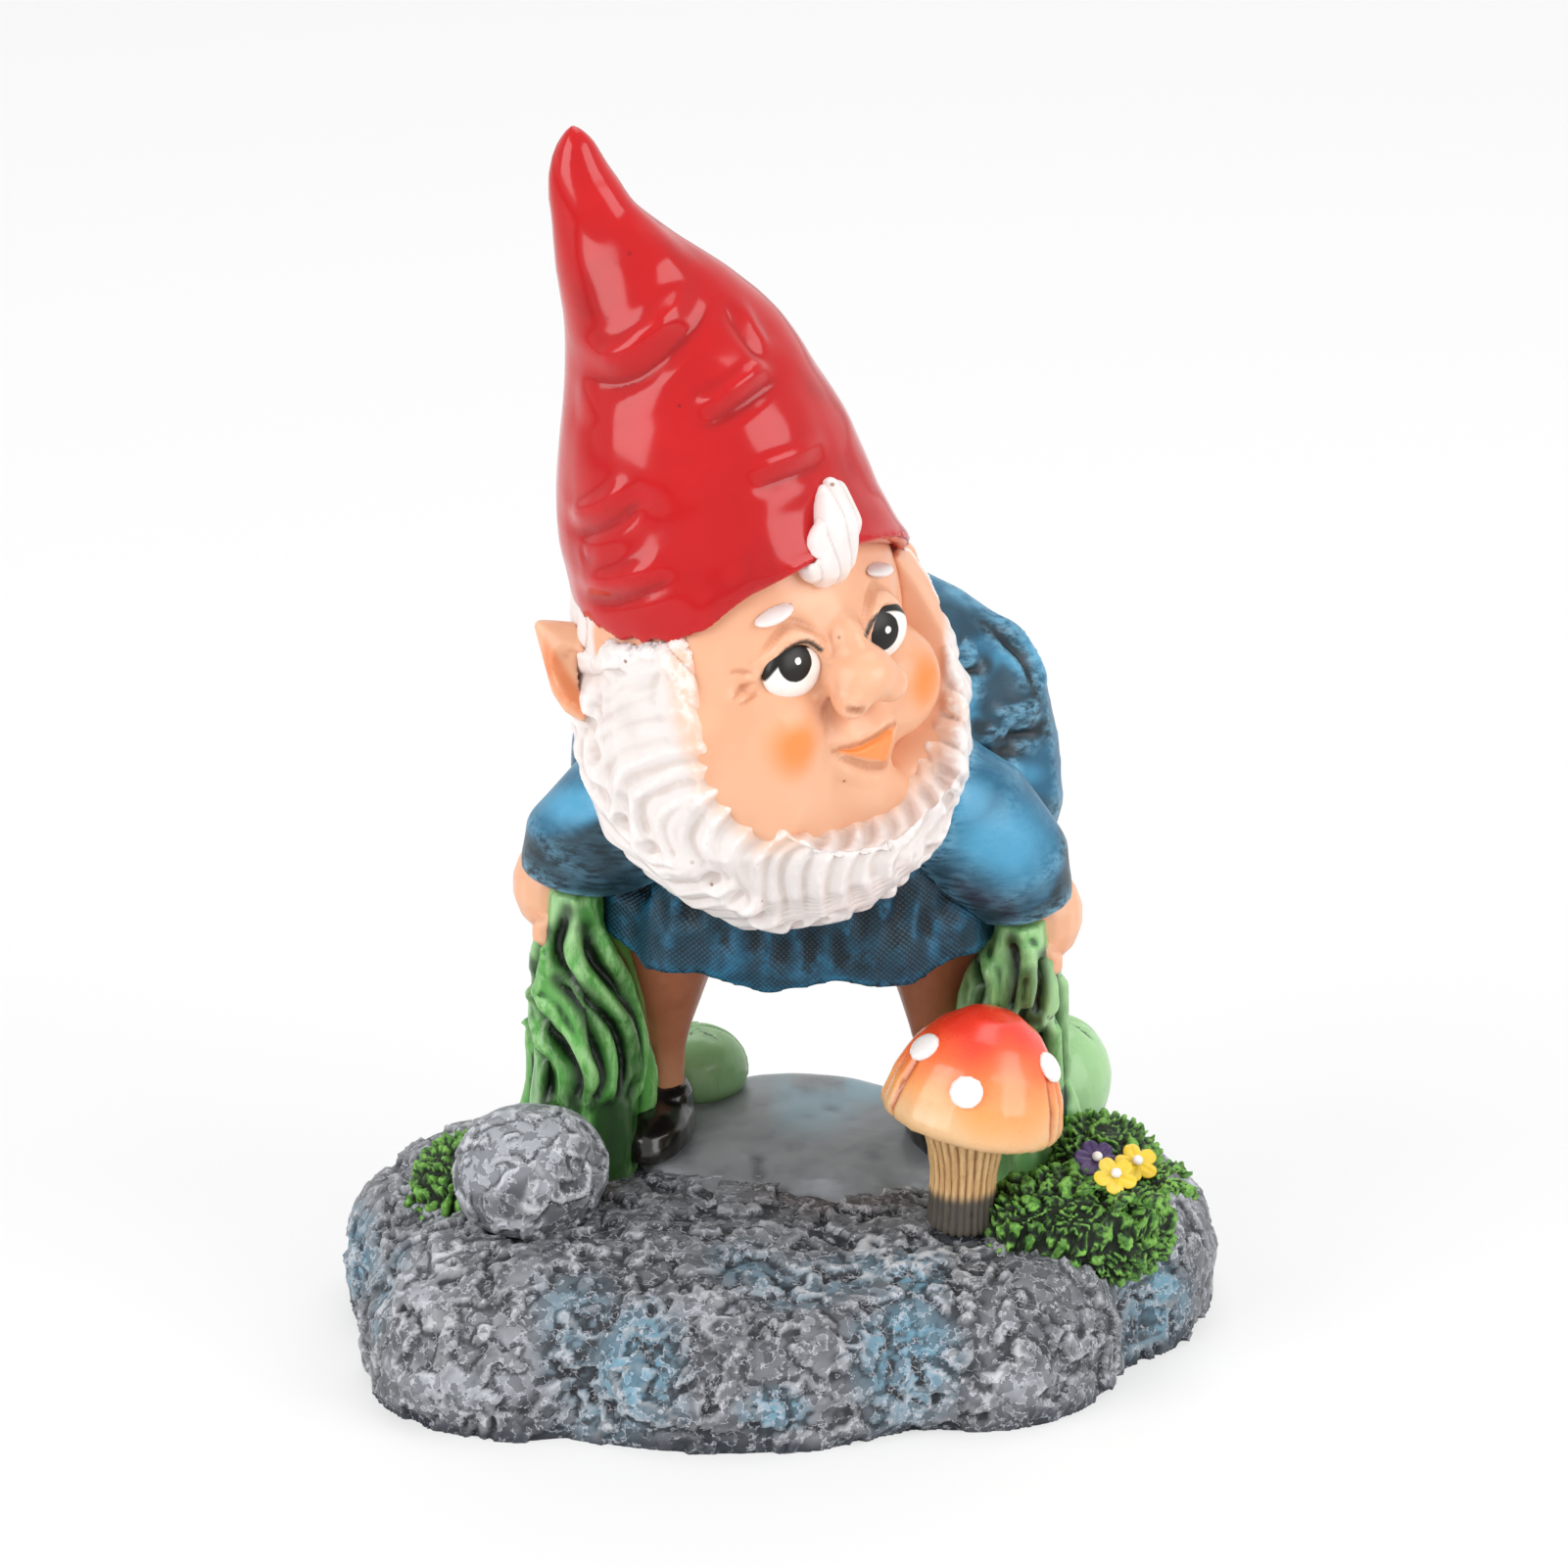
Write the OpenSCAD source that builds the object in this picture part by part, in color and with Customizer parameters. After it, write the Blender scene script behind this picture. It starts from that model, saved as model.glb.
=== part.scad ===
// Garden gnome figurine on a rock base, with a mushroom, moss and flowers.
// Millimetres. The base stands on Z = 0 and the gnome's front faces -Y.

/* [Base] */
// Width of the rock base
base_w = 102; // [90:1:120]
// Depth of the rock base
base_d = 70; // [60:1:84]
// Height of the rock base
base_h = 18; // [14:0.5:24]
// How far the base's top falls towards the front edge
front_fall = 3; // [0:0.5:6]
// Inset of the base's foot under its widest line
foot_inset = 1; // [0:0.2:2]
// Height of the smooth slab above the rock
slab_h = 1.6; // [1:0.2:3]
// Width of the slab
slab_w = 40; // [34:1:48]
// Diameter of the loose boulder
boulder_d = 18; // [12:1:22]

/* [Stance] */
// Distance between the ankles
stance = 32; // [28:1:36]
// Height from the rock up to the tunic's front hem
leg_h = 28; // [24:1:34]
// Thickness of an ankle
ankle_d = 4.4; // [3.6:0.2:6]
// Thickness of a thigh at the hem
thigh_d = 14.5; // [11:0.5:18]
// Length of a shoe
shoe_l = 17; // [14:0.5:20]
// Width of a shoe
shoe_w = 8; // [6:0.5:10]
// Height of a shoe
shoe_h = 6.5; // [5:0.5:9]

/* [Clothes] */
// Width of the tunic's hem
skirt_w = 47; // [42:1:52]
// Depth of the tunic's hem
skirt_d = 31; // [27:1:36]
// Width of the bent back
back_w = 56; // [50:1:62]
// Depth of the bent back
back_d = 32; // [28:1:38]
// Height of the bent back above the hem
back_h = 45; // [40:1:50]
// Distance between the two sleeve openings
sleeve_span = 53; // [49:1:59]
// Diameter of a sleeve
sleeve_d = 17; // [14:0.5:20]
// How much lower the right arm hangs
droop = 3.8; // [0:0.2:5]
// Width of a trouser leg at the ground
trouser_w = 15; // [12:0.5:19]
// Depth of the folds in the cloth
fold_depth = 0.8; // [0:0.1:1.5]
// Thickness of the trousers' seat
seat_t = 4; // [3:0.5:6]

/* [Head] */
// Width of the skull
skull_d = 37.5; // [34:0.5:42]
// Height of the skull's middle above the hem
head_rise = 44; // [40:1:48]
// Turn of the head to its left
head_yaw = 42; // [0:1:60]
// Lean of the head to its right
head_roll = 6; // [0:1:20]
// Upward tilt of the face
head_pitch = 5; // [0:1:20]
// Width of the beard
beard_w = 46; // [42:1:52]
// Length of the beard below the skull's middle
beard_l = 36; // [28:1:38]

/* [Hat] */
// Height of the hat above the skull's middle
hat_h = 57; // [48:1:66]
// How far the hat's tip leans to the side
hat_lean = 18; // [0:1:24]
// Radius of the brim
brim_r = 19.2; // [18:0.1:22]

/* [Mushroom] */
// Diameter of the cap
cap_d = 21.5; // [17:0.5:26]
// Height of the cap
cap_h = 13.5; // [10:0.5:18]
// Lean of the cap
cap_lean = 12; // [0:1:20]
// Diameter of the stem
stem_d = 7.6; // [6:0.2:10]
// Height of the stem
stem_h = 12.5; // [9:0.5:18]
// Diameter of a flower
flower_d = 5; // [4:0.5:7]

/* [Joints] */
// Diameter of the locating spigots
spigot_d = 3; // [2:0.5:4]
// Depth that a spigot goes into its hole
spigot_l = 4; // [3:0.5:6]
// Clearance round a spigot
spigot_gap = 0.1; // [0.05:0.05:0.3]

/* [Hidden] */

// Facets round the large, the middling and the small shapes
fine = 32;
medium = 24;
coarse = 14;

// The gnome's own sides along X
left = -1;
right = 1;
sides = [left, right];

// Middle lines of the body and of the arms, and the line that the feet stand on
body_x = 2.2;
arm_x = body_x - 0.3;
foot_y = 13;
slab_top = base_h + slab_h;
ankle_z = slab_top + shoe_h;
hem_z = base_h + leg_h;
skirt_y = 7;
back_y = 17.2;
head_at = [body_x - 7.1, -3, hem_z + head_rise];
head_turn = [-head_pitch, -head_roll, head_yaw];
skull_r = skull_d / 2;

// ---------- Shared shapes ----------

function unit(v) = v / norm(v);
function average(points) =
  [for (axis = [0:2]) [for (p = points) p[axis]] * [for (p = points) 1]] / len(points);

// Point p turned by the angles t about X, then Y, then Z
function turned(p, t) =
  let (y = p.y * cos(t.x) - p.z * sin(t.x), z = p.y * sin(t.x) + p.z * cos(t.x))
  let (x = p.x * cos(t.y) + z * sin(t.y))
  [x * cos(t.z) - y * sin(t.z), x * sin(t.z) + y * cos(t.z), z * cos(t.y) - p.x * sin(t.y)];

// A ring round a middle, square to its axis: wave(a) swells it and lift(a) raises it at the angle a
even = function(a) 1;
level = function(a) 0;
function ring(at, radii, axis = [0, 0, 1], wave = even, lift = level, points = fine) =
  let (n = unit(axis), u = unit(cross([0, 1, 0], n)), v = cross(n, u))
  [for (i = [0:points - 1]) let (a = 360 * i / points)
    at + wave(a) * (radii.x * cos(a) * u + radii.y * sin(a) * v) + [0, 0, lift(a)]];

// Value between b and c on a smooth curve through a, b, c and d
function between(a, b, c, d, t) =
  0.5 * (2 * b + (c - a) * t + (2 * a - 5 * b + 4 * c - d) * t ^ 2 + (3 * b - a - 3 * c + d) * t ^ 3);

// The stations of a form, with one more on a smooth curve between each two of them
function smooth(stations) = let (last = len(stations) - 1)
  [for (i = [0:last - 1]) each [stations[i],
     between(stations[max(i - 1, 0)], stations[i], stations[i + 1], stations[min(i + 2, last)], 0.5)],
   stations[last]];

// Closes a stack of equal rings into one solid
module skin(loops) {
  count = len(loops[0]);
  rows = len(loops);
  points = [for (loop = loops) each loop, average(loops[0]), average(loops[rows - 1])];
  foot = rows * count;
  walls = [for (row = [0:rows - 2]) for (i = [0:count - 1])
    let (a = row * count + i, b = row * count + (i + 1) % count)
      each [[a, a + count, b + count], [a, b + count, b]]];
  ends = [for (i = [0:count - 1]) let (next = (i + 1) % count, top = (rows - 1) * count)
    each [[foot, i, next], [foot + 1, top + next, top + i]]];
  polyhedron(points, concat(walls, ends));
}

// An ovoid with three different widths
module ovoid(size, facets = medium) {
  scale(size / 2) sphere(1, $fn = facets);
}

// A casting: its carved form is taken as one closed mesh
module casting(colour) {
  color(colour) resize([0, 0, 0]) union() children();
}

// Three named places where a spigot joins a piece to the base
module at_foot(side) { translate([ankle_x(side), foot_y, slab_top]) children(); }
module at_stem() { translate([stem_at.x, stem_at.y, base_h]) children(); }
module at_boulder() { translate([boulder_at.x, boulder_at.y, base_h]) children(); }

// A spigot that stands both sides of the origin, and the hole that takes it
module spigot() {
  translate([0, 0, -spigot_l]) cylinder(d = spigot_d, h = spigot_l + 1.5, $fn = coarse);
}
module spigot_hole() {
  translate([0, 0, -spigot_l - spigot_gap])
    cylinder(d = spigot_d + 2 * spigot_gap, h = spigot_l + 3, $fn = coarse);
}

// ---------- Base ----------

// Round lobes of the rock: middle and radii, as shares of the base's half width and half depth
rock_lobes = [
  [-0.53, 0.23, 0.47, 0.70], [-0.57, -0.34, 0.38, 0.56], [-0.12, 0, 0.68, 1], [0.41, -0.26, 0.38, 0.56],
  [0.57, 0.23, 0.43, 0.64], [0.31, 0.34, 0.45, 0.66], [-0.35, 0.34, 0.45, 0.66]];
// The rim from the ground up: height and inset, as shares of the base's height
rock_rim = [
  [0, 0], [0.12, -0.04], [0.4, -0.06], [0.62, 0.02], [0.78, 0.16], [0.9, 0.38], [0.97, 0.7], [1, 1.2]];
rock_points = 64;

// Distance from the origin to a lobe's far side along the direction d
function lobe_reach(lobe, d) =
  let (q = [d.x / lobe[2], d.y / lobe[3]], c = [lobe[0] / lobe[2], lobe[1] / lobe[3]])
  let (root = (q * c) ^ 2 - q * q * (c * c - 1))
  root < 0 ? 0 : (q * c + sqrt(root)) / (q * q);
function rock_reach(a) = max([for (lobe = rock_lobes) lobe_reach(lobe, [cos(a), sin(a)])]);

// The rock's outline at a share of its height, with an inset
function rock_ring(share, inset) = [for (i = [0:rock_points - 1])
  let (a = 360 * i / rock_points, reach = rock_reach(a))
  let (edge = [base_w / 2 * cos(a), base_d / 2 * sin(a)] * reach, p = edge * (1 - inset / norm(edge)))
  [p.x, p.y, share * (base_h - front_fall * max(0, -2 * p.y / base_d) ^ 2)]];

module rock_form() {
  skin([for (s = rock_rim) rock_ring(s[0], foot_inset + s[1] * base_h)]);
}
module base_rock() {
  casting("dimgray") difference() {
    rock_form();
    for (side = sides) at_foot(side) spigot_hole();
    at_stem() spigot_hole();
    at_boulder() spigot_hole();
  }
}

// The smooth slab that the shoes stand on
slab_y = 11.5;
module slab_form() {
  edge = function(a) 1 + 0.03 * cos(3 * a + 40) + 0.02 * cos(7 * a);
  skin([for (s = [[-2, 1], [0.55 * slab_h, 1], [0.85 * slab_h, 0.97], [slab_h, 0.9]])
    ring([body_x, slab_y, base_h + s[0]], [slab_w, base_d * 0.54] / 2 * s[1], wave = edge, points = medium)]);
}
module standing_slab() {
  casting("slategray") difference() {
    slab_form();
    rock_form();
    for (side = sides) at_foot(side) spigot_hole();
  }
}

boulder_at = [-28.9, -7.5];
module boulder_form() {
  translate([boulder_at.x, boulder_at.y, base_h - 1 + boulder_d * 0.33]) rotate([8, -14, 20])
    ovoid([boulder_d, boulder_d * 0.94, boulder_d * 0.86]);
}
module boulder() {
  casting("gray") {
    difference() { boulder_form(); rock_form(); }
    at_boulder() spigot();
  }
}

// A mound of moss that lies on the base
module mound_form(at, size, turn) {
  edge = function(a) 1 + 0.05 * cos(5 * a) + 0.04 * cos(8 * a + 50);
  rows = [[-0.5, 0.9], [0, 1], [0.4, 0.93], [0.72, 0.72], [0.92, 0.42], [1, 0.12]];
  translate([at.x, at.y, base_h - 1.5]) rotate([0, 0, turn])
    skin([for (s = rows) ring([0, 0, s[0] * size.z], [size.x, size.y] / 2 * s[1], wave = edge, points = 18)]);
}
module left_moss_form() { mound_form([-36, 4], [14, 16, 5.2], -20); }
module right_moss_form() {
  mound_form([33.5, -7.5], [23, 14, 6.5], 12);
  mound_form([37, 3.5], [15, 15, 8.4], 28);
}
module left_moss() {
  casting("darkgreen") difference() {
    left_moss_form();
    rock_form();
    boulder_form();
    trouser_form(left);
  }
}
module right_moss() {
  casting("darkgreen") difference() {
    right_moss_form();
    rock_form();
    slab_form();
    stem_form();
    trouser_form(right);
    cuff_form(right);
    leaves_form();
  }
}

// ---------- Plants ----------

// A pointed leaf that arches up from the origin and out along +X
leaf_l = 6.2;
leaf_w = 3.2;
module leaf(rise) {
  steps = 4;
  bend = function(t) [leaf_l * t, 0, rise * sin(150 * t)];
  skin([for (i = [0:steps]) let (t = i / steps)
    ring(bend(t), [0.5, leaf_w / 2 * max(0.15, sin(25 + 150 * t))], bend(t + 0.1) - bend(t - 0.1),
      points = 6)]);
}
// The leaves fan out from one crown: turn and rise of each
leaf_crown = [40.5, -8.5, base_h + 1.2];
leaf_fan = [[-160, 3], [-110, 2.4], [-62, 2], [-15, 2.6], [30, 3.2], [80, 3.6]];
module leaves_form() {
  translate(leaf_crown) {
    ovoid([6, 6, 6], coarse);
    for (way = leaf_fan) rotate([0, 0, way[0]]) translate([1.2, 0, 0.8]) leaf(way[1]);
  }
}
module right_leaves() {
  casting("forestgreen") difference() { leaves_form(); rock_form(); }
}

// Where each flower sits, and how they all lean to the front
purple_at = [36.2, -5.5, base_h + 5.6];
yellow_at = [[38.2, -10, base_h + 5.5], [40.8, -6.6, base_h + 5.6]];
module planted(at) { translate(at) rotate([34, 10, 0]) children(); }
// Each flower from its stalk up: height, and radius as a share of the flower's
flower_top = 0.9;
flower_rows = [[-1.1, 0.36], [0, 0.42], [0.2, 0.9], [0.6, 1], [flower_top, 0.8]];
module flower(petals) {
  lobes = function(a) 0.72 + 0.28 * abs(cos(petals * a / 2));
  skin([for (s = flower_rows)
    ring([0, 0, s[0]], [1, 1] * flower_d / 2 * s[1], wave = lobes, points = petals * 4)]);
}
module purple_flower() {
  casting("indigo") difference() { planted(purple_at) flower(6); right_moss_form(); }
}
module yellow_flowers() {
  casting("gold") difference() {
    for (at = yellow_at) planted(at) flower(5);
    right_moss_form();
    leaves_form();
  }
}
module flower_centres() {
  color("white") for (at = concat([purple_at], yellow_at)) planted(at) translate([0, 0, flower_top])
    cylinder(d1 = flower_d * 0.24, d2 = flower_d * 0.14, h = 0.7, $fn = coarse);
}

// ---------- Mushroom ----------

stem_at = [20.6, -9];
// The stem from the ground up: height and radius, as shares
stem_rows = [[-0.2, 1], [0.15, 0.94], [0.5, 0.96], [0.75, 1.1], [1.1, 1.45]];
module stem_form() {
  ribs = function(a) 1 + 0.03 * cos(12 * a);
  at_stem() rotate([0, 3, 0])
    skin([for (s = stem_rows)
      ring([0, 0, s[0] * stem_h], [stem_d, stem_d] / 2 * s[1], wave = ribs, points = medium)]);
}
module on_cap() { at_stem() translate([1, 0, stem_h]) rotate([-4, cap_lean, 0]) children(); }
// A point of the cap's dome at the angle rise above its rim
function dome(rise) = [cap_d / 2 * cos(rise), cap_h * sin(rise) ^ 1.15];
module cap_form() {
  on_cap() rotate_extrude($fn = medium)
    polygon(concat([[0, 1], [cap_d * 0.38, 0.3], [cap_d * 0.47, -0.3]], [for (rise = [5:17:90]) dome(rise)],
      [[0, cap_h]]));
}
module mushroom_stem() {
  casting("burlywood") {
    difference() { stem_form(); rock_form(); cap_form(); }
    at_stem() spigot();
  }
}
// Creases run down the cap on both sides of it
crease_turns = [10, 22, 165, 185, 205, 330, 345];
module mushroom_cap() {
  casting("orangered") difference() {
    cap_form();
    on_cap() for (a = crease_turns)
      rotate([0, 0, a]) translate([cap_d * 0.5, 0, cap_h * 0.2]) rotate([0, -24, 0])
      ovoid([1.8, 1, cap_h * 0.6], 8);
  }
}
// Raised spots on the cap: turn round it, and rise from its rim
spots = [[205, 42], [257, 30], [338, 44], [95, 40], [50, 32]];
spot_d = 4;
module mushroom_spots() {
  casting("white") difference() {
    on_cap() for (s = spots) rotate([0, 0, s[0]]) translate([dome(s[1]).x, 0, dome(s[1]).y])
      rotate([0, 90 - s[1], 0]) ovoid([spot_d, spot_d, 1.6], 10);
    cap_form();
  }
}

// ---------- Legs and shoes ----------

function ankle_x(side) = body_x + side * stance / 2;

// A leg from the ankle up: height as a share of the way to the hem, and thickness as a share of the thigh's
leg_rows = [[-0.15, 0.3], [0.22, 0.33], [0.5, 0.56], [0.8, 0.82], [1.08, 0.97], [1.25, 0.8]];
module leg_form(side) {
  skin([for (s = smooth(leg_rows)) let (r = max(ankle_d, thigh_d * s[1]) / 2)
    ring([ankle_x(side), foot_y - 1.5 * max(0, s[0]), ankle_z + s[0] * (hem_z - ankle_z)], [r, r],
      points = medium)]);
}
shoe_rows = [[0, 0.93], [0.3, 1], [0.65, 0.95], [0.95, 0.7], [1.1, 0.35]];
module shoe_form(side) {
  at_foot(side) rotate([0, 0, side * 14]) {
    skin([for (s = shoe_rows) ring([0, (s[0] - 2) * shoe_l * 0.09, s[0] * shoe_h * 0.7],
      [shoe_w, shoe_l] / 2 * s[1], points = medium)]);
    translate([0, 0, shoe_h * 0.6]) ovoid([shoe_w * 0.86, shoe_w, shoe_h], coarse);
  }
}
module shoe(side) {
  casting("black") {
    difference() { shoe_form(side); leg_form(side); }
    at_foot(side) spigot();
  }
}
module leg(side) {
  casting("sienna") difference() { leg_form(side); skirt_form(); back_form(); }
}
module left_shoe() { shoe(left); }
module right_shoe() { shoe(right); }
module left_leg() { leg(left); }
module right_leg() { leg(right); }

// ---------- Trousers ----------

function lean_down(side) = side > 0 ? droop : 0;
function hand_at(side) = [arm_x + side * (sleeve_span / 2 + 1.2), 8, hem_z + 6.8 - lean_down(side)];

// A trouser leg from the ground up: height, width and depth as shares, and its lean outwards
trouser_rows = [[0, 1, 1.2, 0.5], [0.2, 0.94, 1.12, 0], [0.42, 0.9, 1.04, -0.5], [0.64, 0.83, 0.96, -0.4],
  [0.84, 0.68, 0.8, 0.2], [0.97, 0.48, 0.62, 0.7], [1.08, 0.36, 0.5, 0.8]];
// The trousers hang inside the fists and clear of the ankles
trouser_out = max(sleeve_span / 2 - 1.7, (stance + trouser_w) / 2 + 0.9);
function trouser_at(side, share, lean) = [arm_x + side * (trouser_out + lean), 9 - 5.5 * share ^ 2,
  base_h - 1 + share * (hand_at(side).z - base_h)];
module trouser_form(side) {
  folds = function(a) 1 + fold_depth / 10 * (cos(8 * a) + 0.4 * cos(5 * a + 60));
  skin([for (s = smooth(trouser_rows))
    ring(trouser_at(side, s[0], s[3]), trouser_w / 2 * [s[1], s[2]], wave = folds, points = medium)]);
}
module trouser_leg(side) {
  casting("green") difference() {
    trouser_form(side);
    leg_form(side);
    shoe_form(side);
    rock_form();
    slab_form();
    boulder_form();
    sleeve_form(side);
    hand_form(side);
    cap_form();
    skirt_form();
    back_form();
  }
}
// Slack cloth behind each shoe: middle and size
cuffs = [[[-11, 26, base_h + 3.8], [14, 13, 11]], [[32.2, 20.5, base_h + 5], [14, 17, 15]]];
module cuff_form(side) {
  cuff = side > 0 ? cuffs[1] : cuffs[0];
  translate(cuff[0]) ovoid(cuff[1], 20);
}
module trouser_cuff(side) {
  casting("limegreen") difference() {
    cuff_form(side);
    trouser_form(side);
    shoe_form(side);
    rock_form();
    slab_form();
  }
}
module left_trouser_leg() { trouser_leg(left); }
module right_trouser_leg() { trouser_leg(right); }
module left_trouser_cuff() { trouser_cuff(left); }
module right_trouser_cuff() { trouser_cuff(right); }

// The seat hangs behind the legs, from one hand round to the other
seat_depth = 15;
seat_run = [sleeve_span / 2, 19];
module seat_form() {
  skin([for (a = [15:15:165]) let (drop = seat_depth * (0.5 + 0.5 * sin(a)))
    ring([arm_x - seat_run.x * cos(a), hand_at(left).y - 1 + seat_run.y * sin(a), hem_z + 4 - drop / 2],
      [drop, seat_t] / 2, [seat_run.x * sin(a), seat_run.y * cos(a), 0], points = 12)]);
}
module trouser_seat() {
  casting("green") difference() {
    seat_form();
    for (side = sides) {
      trouser_form(side);
      leg_form(side);
      palm_form(side);
      sleeve_form(side);
    }
    skirt_form();
    back_form();
  }
}

// ---------- Tunic ----------

// The skirt from the hem up: height, width and shift to the back
skirt_rows = [[0, 1, 0], [0.25, 0.97, -0.5], [0.5, 0.88, -1.5], [0.75, 0.74, -3], [1, 0.55, -5]];
skirt_h = 22;
hem_rise = 3.4;
module skirt_form() {
  folds = function(a) 1 + 0.03 * cos(11 * a + 20) + 0.015 * cos(6 * a);
  skin([for (s = skirt_rows)
    ring([body_x, skirt_y + s[2], hem_z + s[0] * skirt_h], [skirt_w, skirt_d] / 2 * s[1], wave = folds,
      lift = function(a) (1 - s[0]) * (hem_rise * (1 + sin(a)) + 0.7 * cos(9 * a)), points = 36)]);
}
// The bent back from the hem up: height and width
back_rows = [
  [0.12, 0.93], [0.3, 1], [0.48, 0.97], [0.64, 0.91], [0.77, 0.79], [0.88, 0.59], [0.96, 0.38], [1, 0.15]];
module back_form() {
  folds = function(a) 1 + 0.02 * cos(7 * a + 25) + 0.02 * cos(4 * a);
  skin([for (s = back_rows)
    ring([body_x + 1.3, back_y, hem_z + s[0] * back_h], [back_w, back_d] / 2 * s[1], [0, 0.08, 1],
      wave = folds, points = 34)]);
}
// What the head and its hair take out of the clothes behind them
module head_hollow() {
  skull_form();
  beard_form();
  hat_form();
}
module tunic_skirt() {
  casting("steelblue") difference() { skirt_form(); back_form(); head_hollow(); }
}
module tunic_back() {
  casting("steelblue") difference() { back_form(); head_hollow(); }
}

// ---------- Arms ----------

// A sleeve from the shoulder down: reach outwards, fall and width as shares
sleeve_rows = [[0.3, 0, 0.9], [0.52, 0.1, 1.02], [0.76, 0.42, 1.02], [0.92, 0.72, 0.9], [0.98, 0.98, 0.68]];
sleeve_fall = 13.2;
module sleeve_form(side) {
  fall = sleeve_fall + lean_down(side);
  skin([for (s = sleeve_rows)
    ring([arm_x + side * s[0] * sleeve_span / 2, 1 + 2.5 * s[1], hem_z + 22.5 - s[1] * fall],
      [sleeve_d, sleeve_d] / 2 * s[2], [side * (1.2 - s[1]), 0, -0.2 - 0.8 * s[1]], points = 20)]);
}
module sleeve(side) {
  casting("steelblue") difference() {
    sleeve_form(side);
    skirt_form();
    back_form();
    head_hollow();
    palm_form(side);
  }
}
// A fist that grips the waistband: a palm with four fingers and a thumb
palm = [10.5, 11, 12];
module palm_form(side) {
  translate(hand_at(side)) ovoid(palm, 16);
}
module hand_form(side) {
  palm_form(side);
  translate(hand_at(side)) {
    for (i = [-1:2]) translate([-side * (0.8 + 0.5 * i), i * 2.5 - 2.6, -4]) ovoid([7, 2.7, 5], 8);
    translate([-side * 3.4, -4, 0]) rotate([0, side * 40, 0]) ovoid([3.2, 3.2, 7], 8);
  }
}
module hand(side) {
  casting("peachpuff") difference() {
    hand_form(side);
    skirt_form();
    back_form();
    leg_form(side);
  }
}
module left_sleeve() { sleeve(left); }
module right_sleeve() { sleeve(right); }
module left_hand() { hand(left); }
module right_hand() { hand(right); }

// ---------- Head ----------

// Shapes inside here are placed from the middle of the skull, with the face towards -Y
module on_head() { translate(head_at) rotate(head_turn) children(); }
// Places one shape on the head, with its middle and size as shares of the skull's radius
module lump(at, size, facets = coarse) {
  translate(at * skull_r) ovoid(size * skull_r, facets);
}

module skull_form() {
  on_head() {
    lump([0, 0, 0], [2, 1.94, 2.1], fine);
    lump([0, -0.26, -0.5], [1.6, 1.3, 1.3]);
  }
}
module face_form() {
  on_head() {
    for (side = sides) lump([side * 0.46, -0.68, -0.48], [0.78, 0.7, 0.74]);
    lump([0, -1.04, -0.2], [0.44, 0.5, 0.36]);
    lump([0, -0.94, -0.08], [0.26, 0.42, 0.5]);
    lump([0, -0.78, -0.62], [0.84, 0.52, 0.52]);
    lump([0, -0.72, -0.86], [0.62, 0.5, 0.46]);
  }
}
module head() {
  casting("peachpuff") difference() {
    union() { skull_form(); face_form(); }
    for (side = sides) eye_form(side);
    on_head() lump([0, -1.06, -0.66], [0.5, 0.3, 0.08]);
  }
}
// The eyeballs are let into the face
module eye_form(side) {
  on_head() lump([side * 0.34, -0.86, -0.08], [0.4, 0.26, 0.34]);
}
module eye(side) { casting("white") eye_form(side); }
module left_eye() { eye(left); }
module right_eye() { eye(right); }
module eyebrow(side) {
  casting("white") difference() {
    on_head() translate([side * 0.42, -0.86, 0.28] * skull_r) rotate([20, side * 12, side * 18])
      ovoid([0.3, 0.18, 0.1] * skull_r, coarse);
    skull_form();
  }
}
module left_eyebrow() { eyebrow(left); }
module right_eyebrow() { eyebrow(right); }

// A pointed ear stands out of the hair: its place and its turn differ from side to side
ear_reach = max(skull_r, beard_w * 0.41);
ear_at = [[-0.87, 0.29, -0.15], [1.02, -0.08, -0.1]];
ear_turn = [[-38, 22, 51], [-8, 20, 24]];
module ear_form(side) {
  i = side > 0 ? 1 : 0;
  at = ear_at[i];
  on_head() translate([at.x * ear_reach, at.y * skull_r, at.z * skull_r]) rotate(ear_turn[i]) difference() {
    hull() {
      ovoid([0.28, 0.62, 0.6] * skull_r, coarse);
      translate([0, 0.04, 0.46] * skull_r) sphere(0.6, $fn = 10);
    }
    translate([side * 0.12, -0.12 * side, 0.04] * skull_r) rotate([0, 0, 14])
      ovoid([0.2, 0.34, 0.6] * skull_r, 10);
  }
}
module ear(side) {
  casting("peachpuff") difference() {
    ear_form(side);
    skull_form();
    hat_form();
    beard_form();
  }
}
module left_ear() { ear(left); }
module right_ear() { ear(right); }

// The beard runs from ear to ear under the face: height as a share of its length, width and shift forward
beard_rows = [[-1, 0.14, 3.4], [-0.94, 0.45, 3.2], [-0.8, 0.73, 2.8], [-0.6, 0.93, 2.2], [-0.38, 1, 1.4],
  [-0.16, 0.97, 0.4], [0, 0.9, -0.6], [0.1, 0.84, -1]];
module beard_form() {
  locks = function(a) 1 + 0.025 * cos(12 * a) + 0.015 * cos(7 * a + 40);
  on_head() difference() {
    skin([for (s = beard_rows) ring([1, -s[2] - 1.4, s[0] * beard_l], [beard_w, beard_w * 0.86] / 2 * s[1],
      wave = locks, points = 36)]);
    lump([0.02, -1.12, -0.16], [2.2, 1.6, 2.22], medium);
  }
}
module beard() {
  casting("whitesmoke") difference() {
    beard_form();
    skull_form();
    face_form();
    hat_form();
  }
}

// ---------- Hat ----------

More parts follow.
